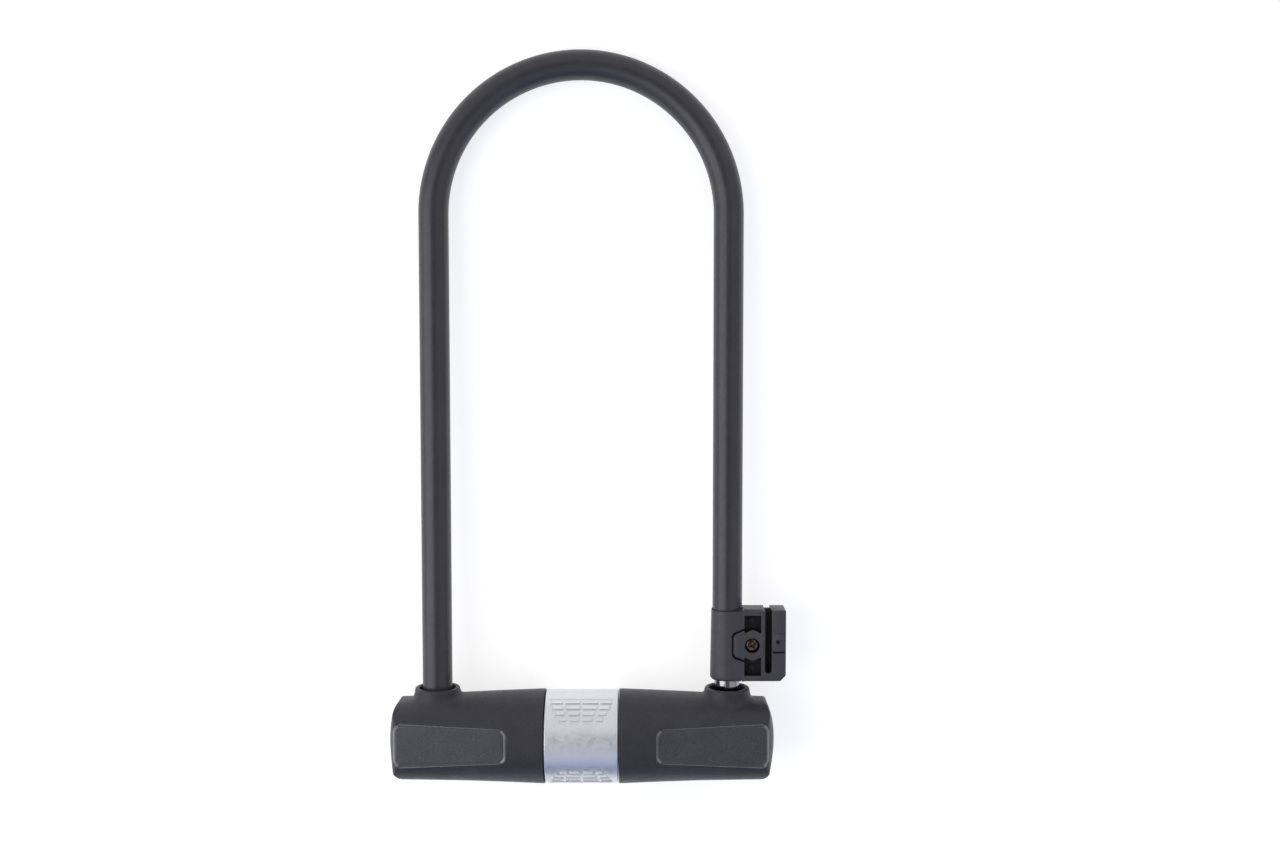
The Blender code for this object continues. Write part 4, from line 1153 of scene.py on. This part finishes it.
# The surround's colours, by share of the way from the crossbar's side to the crown's
SKY_STOPS = (
    (0.00, (0.03, 0.05, 0.14)),
    (0.12, (0.06, 0.10, 0.24)),
    (0.20, (0.28, 0.38, 0.62)),
    (0.29, (0.60, 0.67, 0.86)),
    (0.39, (0.42, 0.43, 0.50)),
    (0.45, (0.15, 0.15, 0.18)),
    (0.61, (0.10, 0.10, 0.12)),
    (0.66, (0.80, 0.80, 0.82)),
    (0.95, (0.82, 0.82, 0.83)),
)
# The camera's place in the lock's frame
CAMERA_AT = (32.1, 224.5, 796.2)
CAMERA_DIP = math.radians(3.7)
CAMERA_LENS = 40.78


def stage():
    """A pale floor under the lock, far wider than any view of it."""
    bm = bmesh.new()
    bmesh.ops.create_grid(bm, x_segments=2, y_segments=2, size=FLOOR_HALF)
    mesh = bpy.data.meshes.new("floor")
    bm.to_mesh(mesh)
    bm.free()
    floor = linked("floor", mesh)
    pale = bpy.data.materials.new("pale_floor")
    pale.use_nodes = True
    shader = pale.node_tree.nodes["Principled BSDF"]
    put(shader, Base_Color=(0.50, 0.50, 0.50, 1), Roughness=0.9, Specular_IOR_Level=0.1)
    put(shader, Emission_Color=(1, 1, 1, 1), Emission_Strength=0.70)
    mesh.materials.append(pale)


def softbox(name, place, size, power):
    """A large area light aimed at the middle of the lock."""
    light = bpy.data.lights.new(name, "AREA")
    light.shape = "RECTANGLE"
    light.size, light.size_y = size
    light.energy = power
    made = linked(name, light)
    made.location = place
    made.rotation_mode = "QUATERNION"
    made.rotation_quaternion = (-Vector(place)).to_track_quat("-Z", "Y")


def sky():
    """A soft studio surround: blue on the crossbar's side, dark grey overhead and at both sides,
    and near white on the crown's side."""
    world = bpy.data.worlds.new("studio")
    bpy.context.scene.world = world
    world.use_nodes = True
    tree = world.node_tree
    link = tree.links.new
    background = tree.nodes["Background"]
    coordinates = node(tree, "ShaderNodeTexCoord")
    parts = node(tree, "ShaderNodeSeparateXYZ")
    link(coordinates.outputs["Generated"], parts.inputs[0])
    angle = node(tree, "ShaderNodeMath", operation="ARCSINE")
    link(parts.outputs["Y"], angle.inputs[0])
    share = node(tree, "ShaderNodeMapRange", From_Min=-math.pi / 2, From_Max=math.pi / 2)
    link(angle.outputs[0], share.inputs["Value"])
    ramp = node(tree, "ShaderNodeValToRGB")
    elements = ramp.color_ramp.elements
    while len(elements) < len(SKY_STOPS):
        elements.new(0.5)
    for element, (place, colour) in zip(elements, SKY_STOPS):
        element.position = place
        element.color = (*colour, 1)
    link(share.outputs[0], ramp.inputs[0])
    link(ramp.outputs["Color"], background.inputs["Color"])


def camera():
    """A camera high above the lock, right of its middle and dipped a little to the crossbar."""
    data = bpy.data.cameras.new("camera")
    data.sensor_width = 36.0
    data.lens = CAMERA_LENS
    data.clip_start = 0.05
    data.clip_end = 20.0
    made = linked("camera", data)
    axes = LOCK.to_3x3() * 1000
    right = axes @ Vector((1, 0, 0))
    back = axes @ Vector((0, math.sin(CAMERA_DIP), math.cos(CAMERA_DIP)))
    turned_to = Matrix((right, back.cross(right), back)).transposed().to_4x4()
    made.matrix_world = Matrix.Translation(LOCK @ Vector(CAMERA_AT)) @ turned_to
    bpy.context.scene.camera = made


# ---- Everything together


def carried_over():
    """Every CAD node that stays gets its slot's procedural finish."""
    slots = {material["slot"] for material in frame["record"]["materials"]}
    for obj in frame["nodes"].values():
        for held in obj.material_slots:
            name = held.material.name.split(".")[0]
            if name in slots:
                held.material = FINISHES[SLOT_FINISH.get(name, name)]


def build():
    carried_over()
    shackle_coat()
    shackle_steel()
    for name, side in SIDES.items():
        cover(name, side)
    dust_band()
    band_carrier()
    crossbar_tube()
    leg_seals()
    cylinder_housing()
    cylinder_plug()
    adapter_sleeve()
    adapter_block()
    adapter_screw()
    adapter_nut()
    adapter_liner()
    stage()
    sky()
    for light in LIGHTS:
        softbox(*light)
    camera()
    bpy.context.scene.view_settings.view_transform = "Standard"


build()
